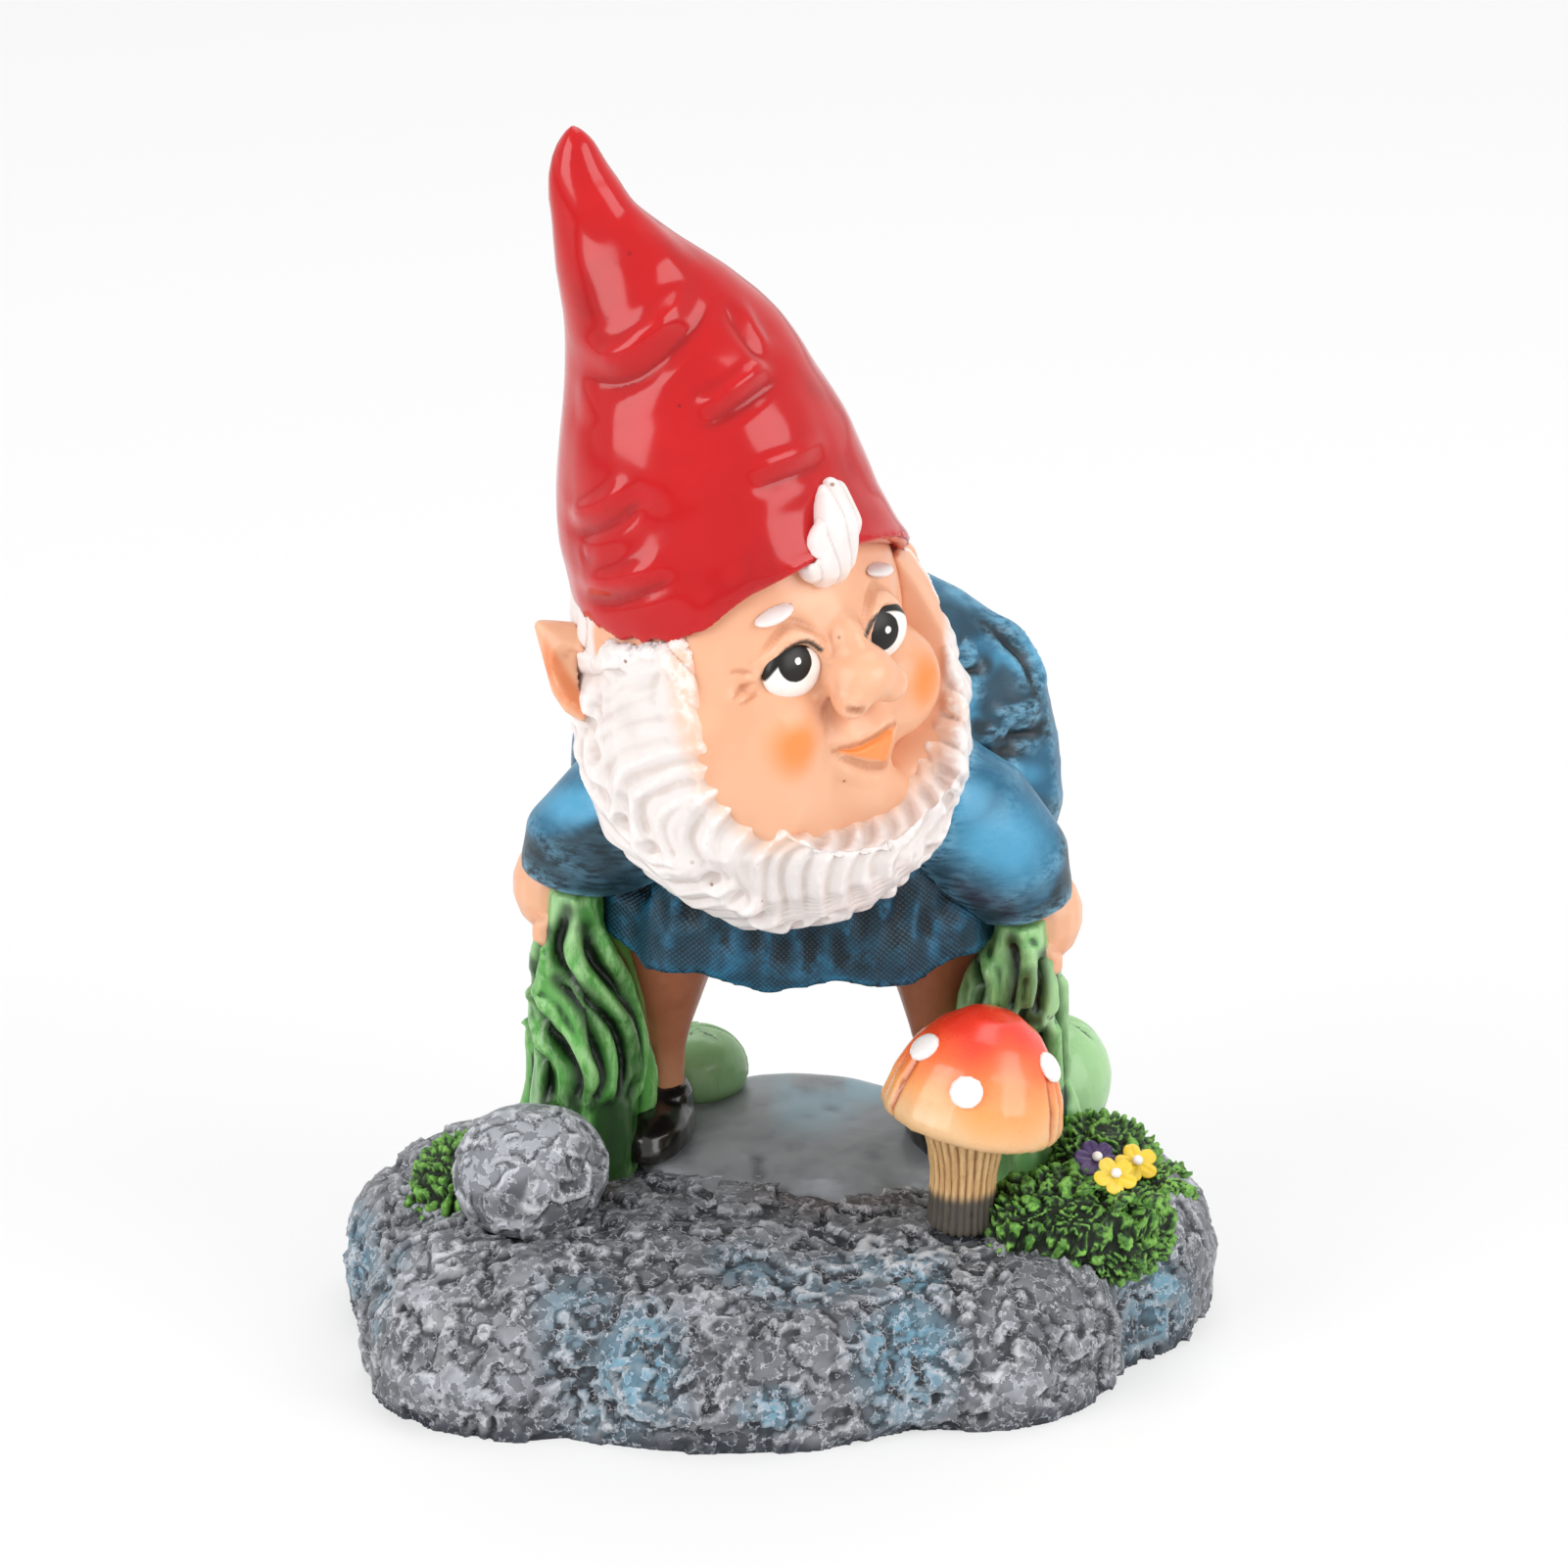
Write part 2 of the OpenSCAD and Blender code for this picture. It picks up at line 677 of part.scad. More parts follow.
// The hat from above the brim: lean, height and radius as shares, and the lean of its axis
hat_rows = [
  [0.12, 0.2, 0.943, 9], [0.21, 0.325, 0.87, 12], [0.34, 0.47, 0.734, 18], [0.46, 0.575, 0.6, 22],
  [0.66, 0.68, 0.44, 28], [0.88, 0.79, 0.27, 32], [0.94, 0.85, 0.22, 28], [0.97, 0.895, 0.167, 14],
  [0.985, 0.965, 0.09, 4], [1, 1, 0.016, 0]];
// The brim starts this far up, leans to the face and dips between its sides
brim_z = 4.2;
brim_tip = [12.3, -4.7, 0];
brim_dip = 2.9;
function hat_row(lean, height, radius, axis, dip) =
  [lean * hat_lean, height * hat_h, radius * brim_r, axis, dip];
hat_stations = concat(
  [hat_row(-0.07, brim_z / hat_h, 1, turned([0, 0, 1], head_turn - brim_tip), brim_dip)],
  [for (s = hat_rows) hat_row(s[0], s[1], s[2], [-sin(s[3]), 0, cos(s[3])], 0)]);
module hat_form() {
  skin([for (s = smooth(hat_stations))
    ring(head_at + [-s[0], 0, s[1]], [s[2], s[2]], s[3], lift = function(a) -s[4] * sin(2 * a))]);
}
module hat() {
  casting("crimson") difference() { hat_form(); skull_form(); }
}

// The forelock curls up over the front of the brim
module tuft_form() {
  roots = [[-0.02, -0.92, 0.52], [0.05, -0.98, 0.7], [0.12, -0.86, 0.85]];
  for (i = [0:1]) hull() for (j = [i, i + 1])
    on_head() lump(roots[j], [0.38, 0.3, 0.34] * (1 - 0.2 * j));
}
module hair_tuft() {
  casting("whitesmoke") difference() { tuft_form(); skull_form(); hat_form(); }
}

// ---------- Assembly ----------

base_rock();
standing_slab();
boulder();
left_moss();
right_moss();
right_leaves();
purple_flower();
yellow_flowers();
flower_centres();
mushroom_stem();
mushroom_cap();
mushroom_spots();
left_shoe();
right_shoe();
left_leg();
right_leg();
left_trouser_leg();
right_trouser_leg();
left_trouser_cuff();
right_trouser_cuff();
trouser_seat();
tunic_skirt();
tunic_back();
left_sleeve();
right_sleeve();
left_hand();
right_hand();
head();
left_eye();
right_eye();
left_eyebrow();
right_eyebrow();
left_ear();
right_ear();
beard();
hair_tuft();
hat();
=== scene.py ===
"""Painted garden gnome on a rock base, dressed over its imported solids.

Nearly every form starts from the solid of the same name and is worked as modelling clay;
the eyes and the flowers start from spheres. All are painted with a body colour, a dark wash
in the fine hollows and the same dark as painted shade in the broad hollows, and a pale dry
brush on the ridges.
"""
import logging
import math
from collections.abc import Sequence
from dataclasses import dataclass, field
from enum import Enum

import bmesh
import bpy
import numpy as np
from mathutils import Euler, Matrix, Vector
from mathutils.bvhtree import BVHTree


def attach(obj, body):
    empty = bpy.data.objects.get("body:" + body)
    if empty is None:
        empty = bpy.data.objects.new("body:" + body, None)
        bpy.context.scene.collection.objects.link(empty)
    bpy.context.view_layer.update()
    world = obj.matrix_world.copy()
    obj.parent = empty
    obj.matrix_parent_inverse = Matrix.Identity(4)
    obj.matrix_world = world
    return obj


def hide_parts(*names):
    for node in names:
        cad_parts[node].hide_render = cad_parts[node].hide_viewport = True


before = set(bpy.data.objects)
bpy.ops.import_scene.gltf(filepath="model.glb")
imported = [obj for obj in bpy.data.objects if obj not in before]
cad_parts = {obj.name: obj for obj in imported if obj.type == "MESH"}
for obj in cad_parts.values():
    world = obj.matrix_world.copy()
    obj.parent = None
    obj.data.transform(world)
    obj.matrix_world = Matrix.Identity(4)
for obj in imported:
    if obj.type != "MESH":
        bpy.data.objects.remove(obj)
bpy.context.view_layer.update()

log = logging.getLogger("gnome")

Point = tuple[float, float, float]
Dot = tuple[float, float]
Oval = tuple[float, float, float, float]
MM = 0.001
SIDES = ((-1, "left"), (1, "right"))


# ---------------------------------------------------------------- patterns

HASH_STEPS = (374761393, 668265263, 1440662683, 974634777)  # for X, Y, Z and the seed
HASH_ROUNDS = ((13, 1274126177), (16, 2246822519))  # a shift and a factor each
HASH_BITS, SHARE_BITS = 0xFFFFFFFF, 0xFFFFFF
OCTAVE_SHIFT = 17.3  # moves each finer swell off the grid of the one before
SWELL_GAIN = 1.6  # brings the sum of the swells back to about -1 to 1


def scatter(cell: np.ndarray, seed: int) -> np.ndarray:
    """Gives even numbers from 0 to 1 for whole-number cells.

    Args:
        cell: Whole numbers, three to a cell.
        seed: Chooses the set.
    Returns:
        One number a cell.
    """
    c, (x, y, z, w) = cell.astype(np.int64), HASH_STEPS
    h = (c[..., 0] * x + c[..., 1] * y + c[..., 2] * z + seed * w) & HASH_BITS
    for step, factor in HASH_ROUNDS:
        h = ((h ^ (h >> step)) * factor) & HASH_BITS
    return ((h ^ (h >> 13)) & SHARE_BITS) / SHARE_BITS


def ripple(p: np.ndarray, size: float, seed: int, octaves: int = 3) -> np.ndarray:
    """Gives a soft uneven swell from about -1 to 1.

    Args:
        p: Points in millimetres.
        size: Width of the largest swells, in millimetres.
        seed: Chooses the pattern.
        octaves: How many finer swells are laid over the first.
    Returns:
        One height a point.
    """
    total, share, weight = np.zeros(len(p)), 1.0, 0.0
    for octave in range(octaves):
        q = p / size * 2 ** octave + OCTAVE_SHIFT * (octave + seed % 7)
        low = np.floor(q)
        t = q - low
        t = t * t * (3 - 2 * t)
        value = np.zeros(len(p))
        for corner in np.ndindex(2, 2, 2):
            c = np.array(corner)
            value += scatter(low + c, seed + octave) * np.prod(np.where(c, t, 1 - t), axis=1)
        total += share * (2 * value - 1)
        weight += share
        share *= 0.5
    return total / weight * SWELL_GAIN


def cells(p: np.ndarray, size: float, seed: int) -> tuple[np.ndarray, np.ndarray]:
    """Finds how far each point is from the nearest two middles of a cell pattern.

    Args:
        p: Points in millimetres.
        size: Width of a cell in millimetres.
        seed: Chooses the pattern.
    Returns:
        The two distances, as shares of the cell's width.
    """
    q = p / size
    low = np.floor(q)
    first, second = np.full(len(p), 9.0), np.full(len(p), 9.0)
    for step in np.ndindex(3, 3, 3):
        cell = low + np.array(step) - 1
        middle = cell + np.stack([scatter(cell, seed + k) for k in range(3)], axis=1)
        away = np.linalg.norm(q - middle, axis=1)
        second = np.minimum(second, np.maximum(first, away))
        first = np.minimum(first, away)
    return first, second


def soft(value: np.ndarray, low: float, high: float) -> np.ndarray:
    """Rises smoothly from 0 at low to 1 at high."""
    t = np.clip((value - low) / (high - low), 0, 1)
    return t * t * (3 - 2 * t)


def most(*masks: np.ndarray) -> np.ndarray:
    """Gives the largest of several masks at each point."""
    return np.maximum.reduce(list(masks))


# ---------------------------------------------------------------- view and placing


def leaning(degrees: Point) -> Matrix:
    """Gives the turn by so many degrees about X, Y and Z."""
    return Euler([math.radians(turn) for turn in degrees]).to_matrix()


@dataclass(frozen=True)
class Sheet:
    """A drawing sheet of 1601 units a side, held square to the main line of sight.

    One of its units is `unit` millimetres wide at the figure.
    """

    eye: Point = (0.3, -840.2, 390.6)
    tilt: float = 69.0
    focal: float = 181.5
    gate: float = 36.0
    rule: float = 1601.0
    unit: float = 0.1115
    sight: float = 50.0

    def ray(self, dot: Dot) -> tuple[Vector, Vector]:
        """Gives the eye and the direction of sight through a dot of the sheet."""
        u, v = dot
        way = Vector(((u / self.rule - 0.5) * self.gate, (0.5 - v / self.rule) * self.gate, -self.focal))
        way.rotate(leaning((self.tilt, 0, 0)))
        return Vector(self.eye), way.normalized()

    def flat(self, p: np.ndarray) -> np.ndarray:
        """Gives where points in millimetres stand on the sheet."""
        q = (p - np.array(self.eye)) @ self.axes()
        return np.stack([0.5 + q[:, 0] / -q[:, 2] * self.focal / self.gate,
                         0.5 - q[:, 1] / -q[:, 2] * self.focal / self.gate], axis=1) * self.rule

    def axes(self) -> np.ndarray:
        """Gives the sheet's right, its up and the way towards the eye, as columns."""
        return np.array(leaning((self.tilt, 0, 0)))

    def camera(self) -> bpy.types.Object:
        """Sets up the camera that looks through the sheet."""
        lens = bpy.data.cameras.new("main_camera")
        lens.sensor_width, lens.lens, lens.clip_end = self.gate, self.focal, self.sight
        camera = bpy.data.objects.new("main_camera", lens)
        camera.location = Vector(self.eye) * MM
        camera.rotation_euler = (math.radians(self.tilt), 0, 0)
        bpy.context.scene.collection.objects.link(camera)
        bpy.context.scene.camera = camera
        return camera


SHEET = Sheet()


def curve_through(dots: Sequence[Sequence[float]], step: float) -> np.ndarray:
    """Lays points on a smooth curve through the given ones.

    Args:
        dots: Points of two or three numbers.
        step: Largest distance between the new points.
    Returns:
        The points, one a row.
    """
    d = np.array(dots, float)
    if len(d) < 2:
        return d
    d = np.vstack([2 * d[0] - d[1], d, 2 * d[-1] - d[-2]])
    out = []
    for a, b, c, e in zip(d, d[1:], d[2:], d[3:]):
        n = max(2, int(np.linalg.norm(c - b) / step) + 1)
        t = np.arange(n)[:, None] / n
        bend = (2 * a - 5 * b + 4 * c - e) * t ** 2 + (3 * b - a - 3 * c + e) * t ** 3
        out.append(0.5 * (2 * b + (c - a) * t + bend))
    return np.vstack(out + [d[-2:-1]])


class Tool(Enum):
    """How a stroke of the modelling tool shapes the clay."""

    ROUND = "round"
    SHARP = "sharp"
    FOLD = "fold"


# ---------------------------------------------------------------- clay

WELD = 1e-6  # metres within which a solid's corners are one
EVENING = 0.7  # how far a point moves to its neighbours' middle in one round
FINE_RELIEF = (3, 0.09)  # rounds of evening, and the height in millimetres that counts as 1
BROAD_RELIEF = (24, 0.6)
FOLD_REACH = 1.4  # how far a fold works beyond its own width
GROOVE = 0.42  # where a fold's groove ends, as a share of its width
BANK, BANK_WIDTH = 0.72, 0.3  # where the bank beside it stands, and how wide that is
FAR_BANK = 0.1  # how much the bank on the other side rises


class Clay:
    """A form that strokes, dabs and patterns push in and out, in millimetres."""

    def __init__(self, name: str, nodes: Sequence[str], voxel: float, grow: float = 0.15, relax: int = 3,
                 balls: Sequence[Matrix] = ()) -> None:
        """Takes the solids' shapes as one closed skin of even squares.

        Args:
            name: Name of the piece.
            nodes: Solids that the piece stands for.
            voxel: Width of the squares in millimetres.
            grow: How far the skin swells outwards.
            relax: How often the skin is evened out at first.
            balls: Balls of clay laid on first: how each lies and stretches a ball of unit radius.
        """
        self.name, self.nodes = name, list(nodes)
        bm = bmesh.new()
        for node in nodes:
            bm.from_mesh(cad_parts[node].data)
        bmesh.ops.remove_doubles(bm, verts=bm.verts, dist=WELD)
        for ball in balls:
            bmesh.ops.create_icosphere(bm, subdivisions=3, radius=1, matrix=ball)
        mesh = bpy.data.meshes.new(name)
        bm.to_mesh(mesh)
        bm.free()
        self.obj = bpy.data.objects.new(name, mesh)
        bpy.context.scene.collection.objects.link(self.obj)
        pick(self.obj)
        remesh = self.obj.modifiers.new("skin", "REMESH")
        remesh.mode, remesh.voxel_size = "VOXEL", voxel * MM
        bpy.ops.object.modifier_apply(modifier=remesh.name)
        self.read()
        self.smooth(relax)
        self.push(grow)
        self.start = self.p.copy()

    def read(self) -> None:
        """Reads the points and the edges from the mesh."""
        mesh = self.obj.data
        flat = np.empty(len(mesh.vertices) * 3, np.float32)
        mesh.vertices.foreach_get("co", flat)
        self.p = flat.reshape(-1, 3).astype(float) / MM
        ends = np.empty(len(mesh.edges) * 2, np.int32)
        mesh.edges.foreach_get("vertices", ends)
        self.edges = ends.reshape(-1, 2)
        self.links = np.maximum(np.bincount(ends, minlength=len(self.p)), 1)
        self.tree = None
        self.face()

    def write(self) -> None:
        """Writes the points back to the mesh."""
        self.obj.data.vertices.foreach_set("co", (self.p * MM).astype(np.float32).ravel())
        self.obj.data.update()

    def face(self) -> None:
        """Writes the points and reads the way that each now faces."""
        self.write()
        flat = np.empty(len(self.p) * 3, np.float32)
        self.obj.data.vertex_normals.foreach_get("vector", flat)
        self.n = flat.reshape(-1, 3).astype(float)
        self.tree = None

    def even(self, values: np.ndarray) -> np.ndarray:
        """Gives each point the average of its neighbours' values."""
        a, b = self.edges[:, 0], self.edges[:, 1]
        count, columns = len(values), values.reshape(len(values), -1).T
        sums = [np.bincount(a, column[b], count) + np.bincount(b, column[a], count) for column in columns]
        return np.stack([total / self.links for total in sums], axis=1).reshape(values.shape)

    def smooth(self, times: int, where: np.ndarray | float = 1.0) -> None:
        """Evens the skin out, fully where `where` is 1 and not at all where it is 0."""
        share = np.broadcast_to(where, len(self.p))[:, None]
        for _ in range(times):
            self.p += (self.even(self.p) - self.p) * share * EVENING
        self.face()

    def push(self, by: np.ndarray | float) -> None:
        """Moves every point outwards by its own amount, in millimetres."""
        self.p += self.n * np.broadcast_to(by, len(self.p))[:, None]
        self.face()

    def ripple(self, size: float, seed: int, octaves: int = 2, squeeze: Point = (1, 1, 1)) -> np.ndarray:
        """Gives an uneven swell over the skin, from about -1 to 1."""
        return ripple(self.p * squeeze, size, seed, octaves)

    def warp(self, size: float, seed: int) -> np.ndarray:
        """Gives a swell along each axis, which bends a pattern that is laid over the skin."""
        return np.stack([self.ripple(size, seed + k) for k in range(3)], axis=1)

    def around(self, x: float, y: float) -> np.ndarray:
        """Gives each point's turn about an upright axis, from the front towards +X."""
        return np.arctan2(self.p[:, 0] - x, y - self.p[:, 1])

    def shift(self, by: Point, where: np.ndarray) -> None:
        """Moves the skin along the sheet's right, up and towards the eye, as far as `where` says."""
        self.p += (SHEET.axes() @ np.array(by)) * where[:, None]
        self.face()

    def spots(self, ovals: Sequence[Oval]) -> np.ndarray:
        """Gives a mask of soft ovals on the sheet, each by its middle and its half width and height."""
        q, mask = SHEET.flat(self.p), np.zeros(len(self.p))
        for u, v, wide, high in ovals:
            away = np.hypot((q[:, 0] - u) / wide, (q[:, 1] - v) / high)
            mask = np.maximum(mask, 1 - soft(away, 0.3, 1.2))
        return mask * soft(self.n @ SHEET.axes()[:, 2], -0.1, 0.25)

    def hit(self, origin: Vector, way: Vector) -> Vector | None:
        """Finds where a line first meets the skin, in millimetres."""
        if self.tree is None:
            bpy.context.view_layer.update()
            self.tree = BVHTree.FromObject(self.obj, bpy.context.evaluated_depsgraph_get())
        found = self.tree.ray_cast(origin * MM, way)[0]
        return None if found is None else found / MM

    def trace(self, dots: Sequence[Dot], step: float = 0.3) -> np.ndarray:
        """Lays a curve drawn on the sheet onto the skin.

        Args:
            dots: Dots of the sheet that the curve goes through.
            step: Distance between its points, in millimetres.
        Returns:
            The curve's points on the skin.
        """
        spots = [self.hit(*SHEET.ray(tuple(d))) for d in curve_through(dots, step / SHEET.unit)]
        return np.array([s for s in spots if s is not None]).reshape(-1, 3)

    def wrap(self, dots: Sequence[Dot], axis: Point, step: float = 0.3) -> np.ndarray:
        """Lays a curve given by turn and height about an upright axis onto the skin.

        Args:
            dots: Turn in degrees from the front towards +X, and height in millimetres.
            axis: Middle and rough radius: x, y, radius.
            step: Distance between its points, in millimetres.
        Returns:
            The curve's points on the skin.
        """
        flat = curve_through([(math.radians(a) * axis[2], z) for a, z in dots], step)
        spots = []
        for arc, z in flat:
            a = arc / axis[2]
            out = Vector((math.sin(a), -math.cos(a), 0))
            spot = self.hit(Vector((axis[0], axis[1], z)) + out * 200, -out)
            if spot is not None:
                spots.append(spot)
        return np.array(spots).reshape(-1, 3)

    def near(self, path: np.ndarray, reach: float) -> tuple[np.ndarray, np.ndarray, np.ndarray]:
        """Finds the points within reach of a path.

        Args:
            path: Points of the path.
            reach: Distance in millimetres.
        Returns:
            The points' numbers, their distances and the nearest place on the path.
        """
        box = np.all((self.p > path.min(0) - reach) & (self.p < path.max(0) + reach), axis=1)
        picked = np.flatnonzero(box)
        if not len(picked):
            return picked, np.zeros(0), np.zeros(0, int)
        best, place = np.full(len(picked), np.inf), np.zeros(len(picked), int)
        q = self.p[picked]
        for k, spot in enumerate(path):
            away = ((q - spot) ** 2).sum(1)
            closer = away < best
            best[closer], place[closer] = away[closer], k
        best = np.sqrt(best)
        keep = best < reach
        return picked[keep], best[keep], place[keep]

    def stroke(self, path: np.ndarray, width: float, height: float, tool: Tool = Tool.ROUND,
               taper: float = 0.3, swell: float = 0.7) -> None:
        """Draws the modelling tool along a path.

        Args:
            path: Points of the path.
            width: How far the stroke reaches to each side.
            height: How far it raises the skin, or with a minus sign sinks it.
            tool: Section of the stroke.
            taper: Share of the path over which each end fades.
            swell: For a fold, how much the skin left of the path rises, as a share of the depth.
        """
        if len(path) < 2:
            return
        wide = FOLD_REACH if tool is Tool.FOLD else 1.0
        picked, away, place = self.near(path, width * wide)
        if not len(picked):
            return
        along = place / (len(path) - 1)
        fade = soft(along, 0, taper) * soft(1 - along, 0, taper) if taper else 1.0
        t = away / width
        if tool is Tool.ROUND:
            rise = (1 - np.clip(t, 0, 1) ** 2) ** 2 * height
        elif tool is Tool.SHARP:
            rise = (1 - np.clip(t, 0, 1)) ** 1.6 * height
        else:
            ahead = path[np.minimum(place + 1, len(path) - 1)] - path[np.maximum(place - 1, 0)]
            beside = self.p[picked] - path[place]
            side = np.einsum("ij,ij->i", np.cross(self.n[picked], ahead), beside)
            groove = np.clip(1 - t / GROOVE, 0, 1) ** 1.3
            bank = np.exp(-((t - BANK) / BANK_WIDTH) ** 2) * np.where(side > 0, swell, FAR_BANK)
            rise = (groove - bank) * height
        self.p[picked] += self.n[picked] * (rise * fade)[:, None]

    def line(self, dots: Sequence[Dot], width: float, height: float, tool: Tool = Tool.ROUND,
             taper: float = 0.3) -> None:
        """Draws the modelling tool along a line of the sheet."""
        self.stroke(self.trace(dots), width, height, tool, taper)

    def score(self, lines: Sequence[Sequence[Dot]], width: float, depth: float, swell: float = 0.5,
              taper: float = 0.15) -> np.ndarray:
        """Cuts folds along lines drawn on the sheet.

        Args:
            lines: The lines, each as dots of the sheet.
            width: How far a fold reaches to each side, in millimetres.
            depth: How deep it goes.
            swell: How much one side of it rises, as a share of the depth.
            taper: Share of each line over which its ends fade.
        Returns:
            A mask of the folds' bottoms.
        """
        bottom = np.zeros(len(self.p))
        for path in [self.trace(dots) for dots in lines]:
            bottom = np.maximum(bottom, self.brush(path, width * 0.62, 0.2))
            self.stroke(path, width, -depth, Tool.FOLD, taper, swell)
        self.face()
        return bottom

    def dab(self, at: Sequence[float], reach: float, height: float) -> None:
        """Raises or sinks a round place of the skin."""
        away = np.linalg.norm(self.p - np.array(at), axis=1) / reach
        self.p += self.n * (np.clip(1 - away ** 2, 0, 1) ** 2 * height)[:, None]

    def brush(self, path: np.ndarray, width: float, core: float = 0.3) -> np.ndarray:
        """Gives a mask that is 1 within the core of a painted line and fades to its width."""
        mask = np.zeros(len(self.p))
        if len(path):
            picked, away, _ = self.near(path, width)
            mask[picked] = 1 - soft(away / width, core, 1)
        return mask

    def painted(self, dots: Sequence[Dot], width: float, core: float = 0.3) -> np.ndarray:
        """Gives the mask of a line painted through dots of the sheet."""
        return self.brush(self.trace(dots), width, core)

    def area(self, dots: Sequence[Dot], feather: float = 2.0) -> np.ndarray:
        """Gives a mask of the skin that lies within an outline drawn on the sheet.

        Args:
            dots: Corners of the outline.
            feather: Width of its soft edge, in units of the sheet.
        Returns:
            1 within the outline and 0 outside it, for what faces the sheet.
        """
        q, line = SHEET.flat(self.p), np.array(dots, float)
        inside, away = np.zeros(len(q), bool), np.full(len(q), np.inf)
        for a, b in zip(line, np.roll(line, -1, axis=0)):
            along = np.clip(((q - a) @ (b - a)) / max(((b - a) ** 2).sum(), 1e-9), 0, 1)
            away = np.minimum(away, np.linalg.norm(q - a - along[:, None] * (b - a), axis=1))
            crosses = (a[1] > q[:, 1]) != (b[1] > q[:, 1])
            inside ^= crosses & (q[:, 0] < (b[0] - a[0]) * (q[:, 1] - a[1]) / (b[1] - a[1] + 1e-9) + a[0])
        toward = ((np.array(SHEET.eye) - self.p) * self.n).sum(1) > 0
        return soft(np.where(inside, away, -away), -feather / 2, feather / 2) * toward

    def relief(self, times: int, unit: float) -> np.ndarray:
        """Gives how far each point stands above its evened surroundings, in units."""
        level = self.p
        for _ in range(times):
            level = self.even(level)
        return np.clip(((self.p - level) * self.n).sum(1) / unit, -1, 1)

    def store(self, name: str, values: np.ndarray) -> None:
        """Keeps one number a point with the mesh, for the paint to read."""
        held = self.obj.data.attributes.get(name) or self.obj.data.attributes.new(name, "FLOAT", "POINT")
        held.data.foreach_set("value", np.asarray(values, np.float32))

    def sink(self, below: float, by: float, span: float = 2.0) -> None:
        """Draws the skin's foot further down, into what carries it."""
        self.p[:, 2] -= by * soft(below - self.p[:, 2], 0, span)
        self.face()

    def finish(self, paint: bpy.types.Material, slot: str, **masks: np.ndarray) -> bpy.types.Object:
        """Stores the relief and the masks, and puts the painted piece in place of its solids.

        Args:
            paint: Material of the piece.
            slot: Name of the record's slot; not used, only passed on to settle, which does not use it either.
            masks: Further numbers for the paint.
        Returns:
            The finished piece.
        """
        self.face()
        self.store("fine", self.relief(*FINE_RELIEF))
        self.store("broad", self.relief(*BROAD_RELIEF))
        for name, values in masks.items():
            self.store(name, values)
        return settle(self.obj, paint, slot, *self.nodes)


def skin_of(nodes: Sequence[str]) -> BVHTree:
    """Gives a search tree of these solids' faces."""
    bm = bmesh.new()
    for node in nodes:
        bm.from_mesh(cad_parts[node].data)
    tree = BVHTree.FromBMesh(bm)
    bm.free()
    return tree


def on_solids(nodes: Sequence[str], dots: Sequence[Dot]) -> list[Vector]:
    """Gives where lines of sight through dots of the sheet first meet any of these solids."""
    tree, rays = skin_of(nodes), [SHEET.ray(tuple(dot)) for dot in dots]
    return [tree.ray_cast(eye * MM, way)[0] / MM for eye, way in rays]


def pick(*objs: bpy.types.Object) -> None:
    """Selects these objects only, with the first one active."""
    bpy.ops.object.select_all(action="DESELECT")
    for obj in objs:
        obj.select_set(True)
    bpy.context.view_layer.objects.active = objs[0]


def settle(obj: bpy.types.Object, paint: bpy.types.Material, slot: str, *nodes: str) -> bpy.types.Object:
    """Paints a piece, smooths its shading and hangs it on the figure.

    Args:
        obj: The piece.
        paint: Its material.
        slot: Name of the record's slot; not used.
        nodes: Solids that it stands for.
    Returns:
        The piece.
    """
    obj.data.materials.clear()
    obj.data.materials.append(paint)
    pick(obj)
    bpy.ops.object.shade_smooth()
    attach(obj, "root")
    if nodes:
        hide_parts(*nodes)
    log.info("%s: %d faces", obj.name, len(obj.data.polygons))
    return obj


# ---------------------------------------------------------------- paint


def tint(code: str) -> tuple[float, float, float, float]:
    """Turns a six-figure colour code into a linear colour."""
    parts = [int(code[k:k + 2], 16) / 255 for k in (0, 2, 4)]
    return tuple(c / 12.92 if c <= 0.04045 else ((c + 0.055) / 1.055) ** 2.4 for c in parts) + (1.0,)


class Wire:
    """A node's output that can be reckoned with: every operator adds a Math node."""

    def __init__(self, pot: "Pot", socket: bpy.types.NodeSocket) -> None:
        """Wraps a socket of a pot's nodes."""
        self.pot, self.socket = pot, socket

    def math(self, operation: str, *values: "Wire | float") -> "Wire":
        """Adds a Math node that takes the given values in order."""
        return self.pot.node("ShaderNodeMath", {"operation": operation}, dict(enumerate(values)))

    def __add__(self, other: "Wire | float") -> "Wire":
        """Adds."""
        return self.math("ADD", self, other)

    def __sub__(self, other: "Wire | float") -> "Wire":
        """Subtracts."""
        return self.math("SUBTRACT", self, other)

    def __rsub__(self, other: "Wire | float") -> "Wire":
        """Subtracts from a number."""
        return self.math("SUBTRACT", other, self)

    def __mul__(self, other: "Wire | float") -> "Wire":
        """Multiplies."""
        return self.math("MULTIPLY", self, other)

    __radd__ = __add__
    __rmul__ = __mul__

    def rise(self, low: float, high: float, bottom: float = 0.0, top: float = 1.0) -> "Wire":
        """Rises smoothly from bottom at low to top at high, or falls where high is below low."""
        return self.pot.node("ShaderNodeMapRange", {"interpolation_type": "SMOOTHSTEP"},
                             {"Value": self, "From Min": low, "From Max": high,
                              "To Min": bottom, "To Max": top})

    def sine(self) -> "Wire":
        """Takes the sine."""
        return self.math("SINE", self)


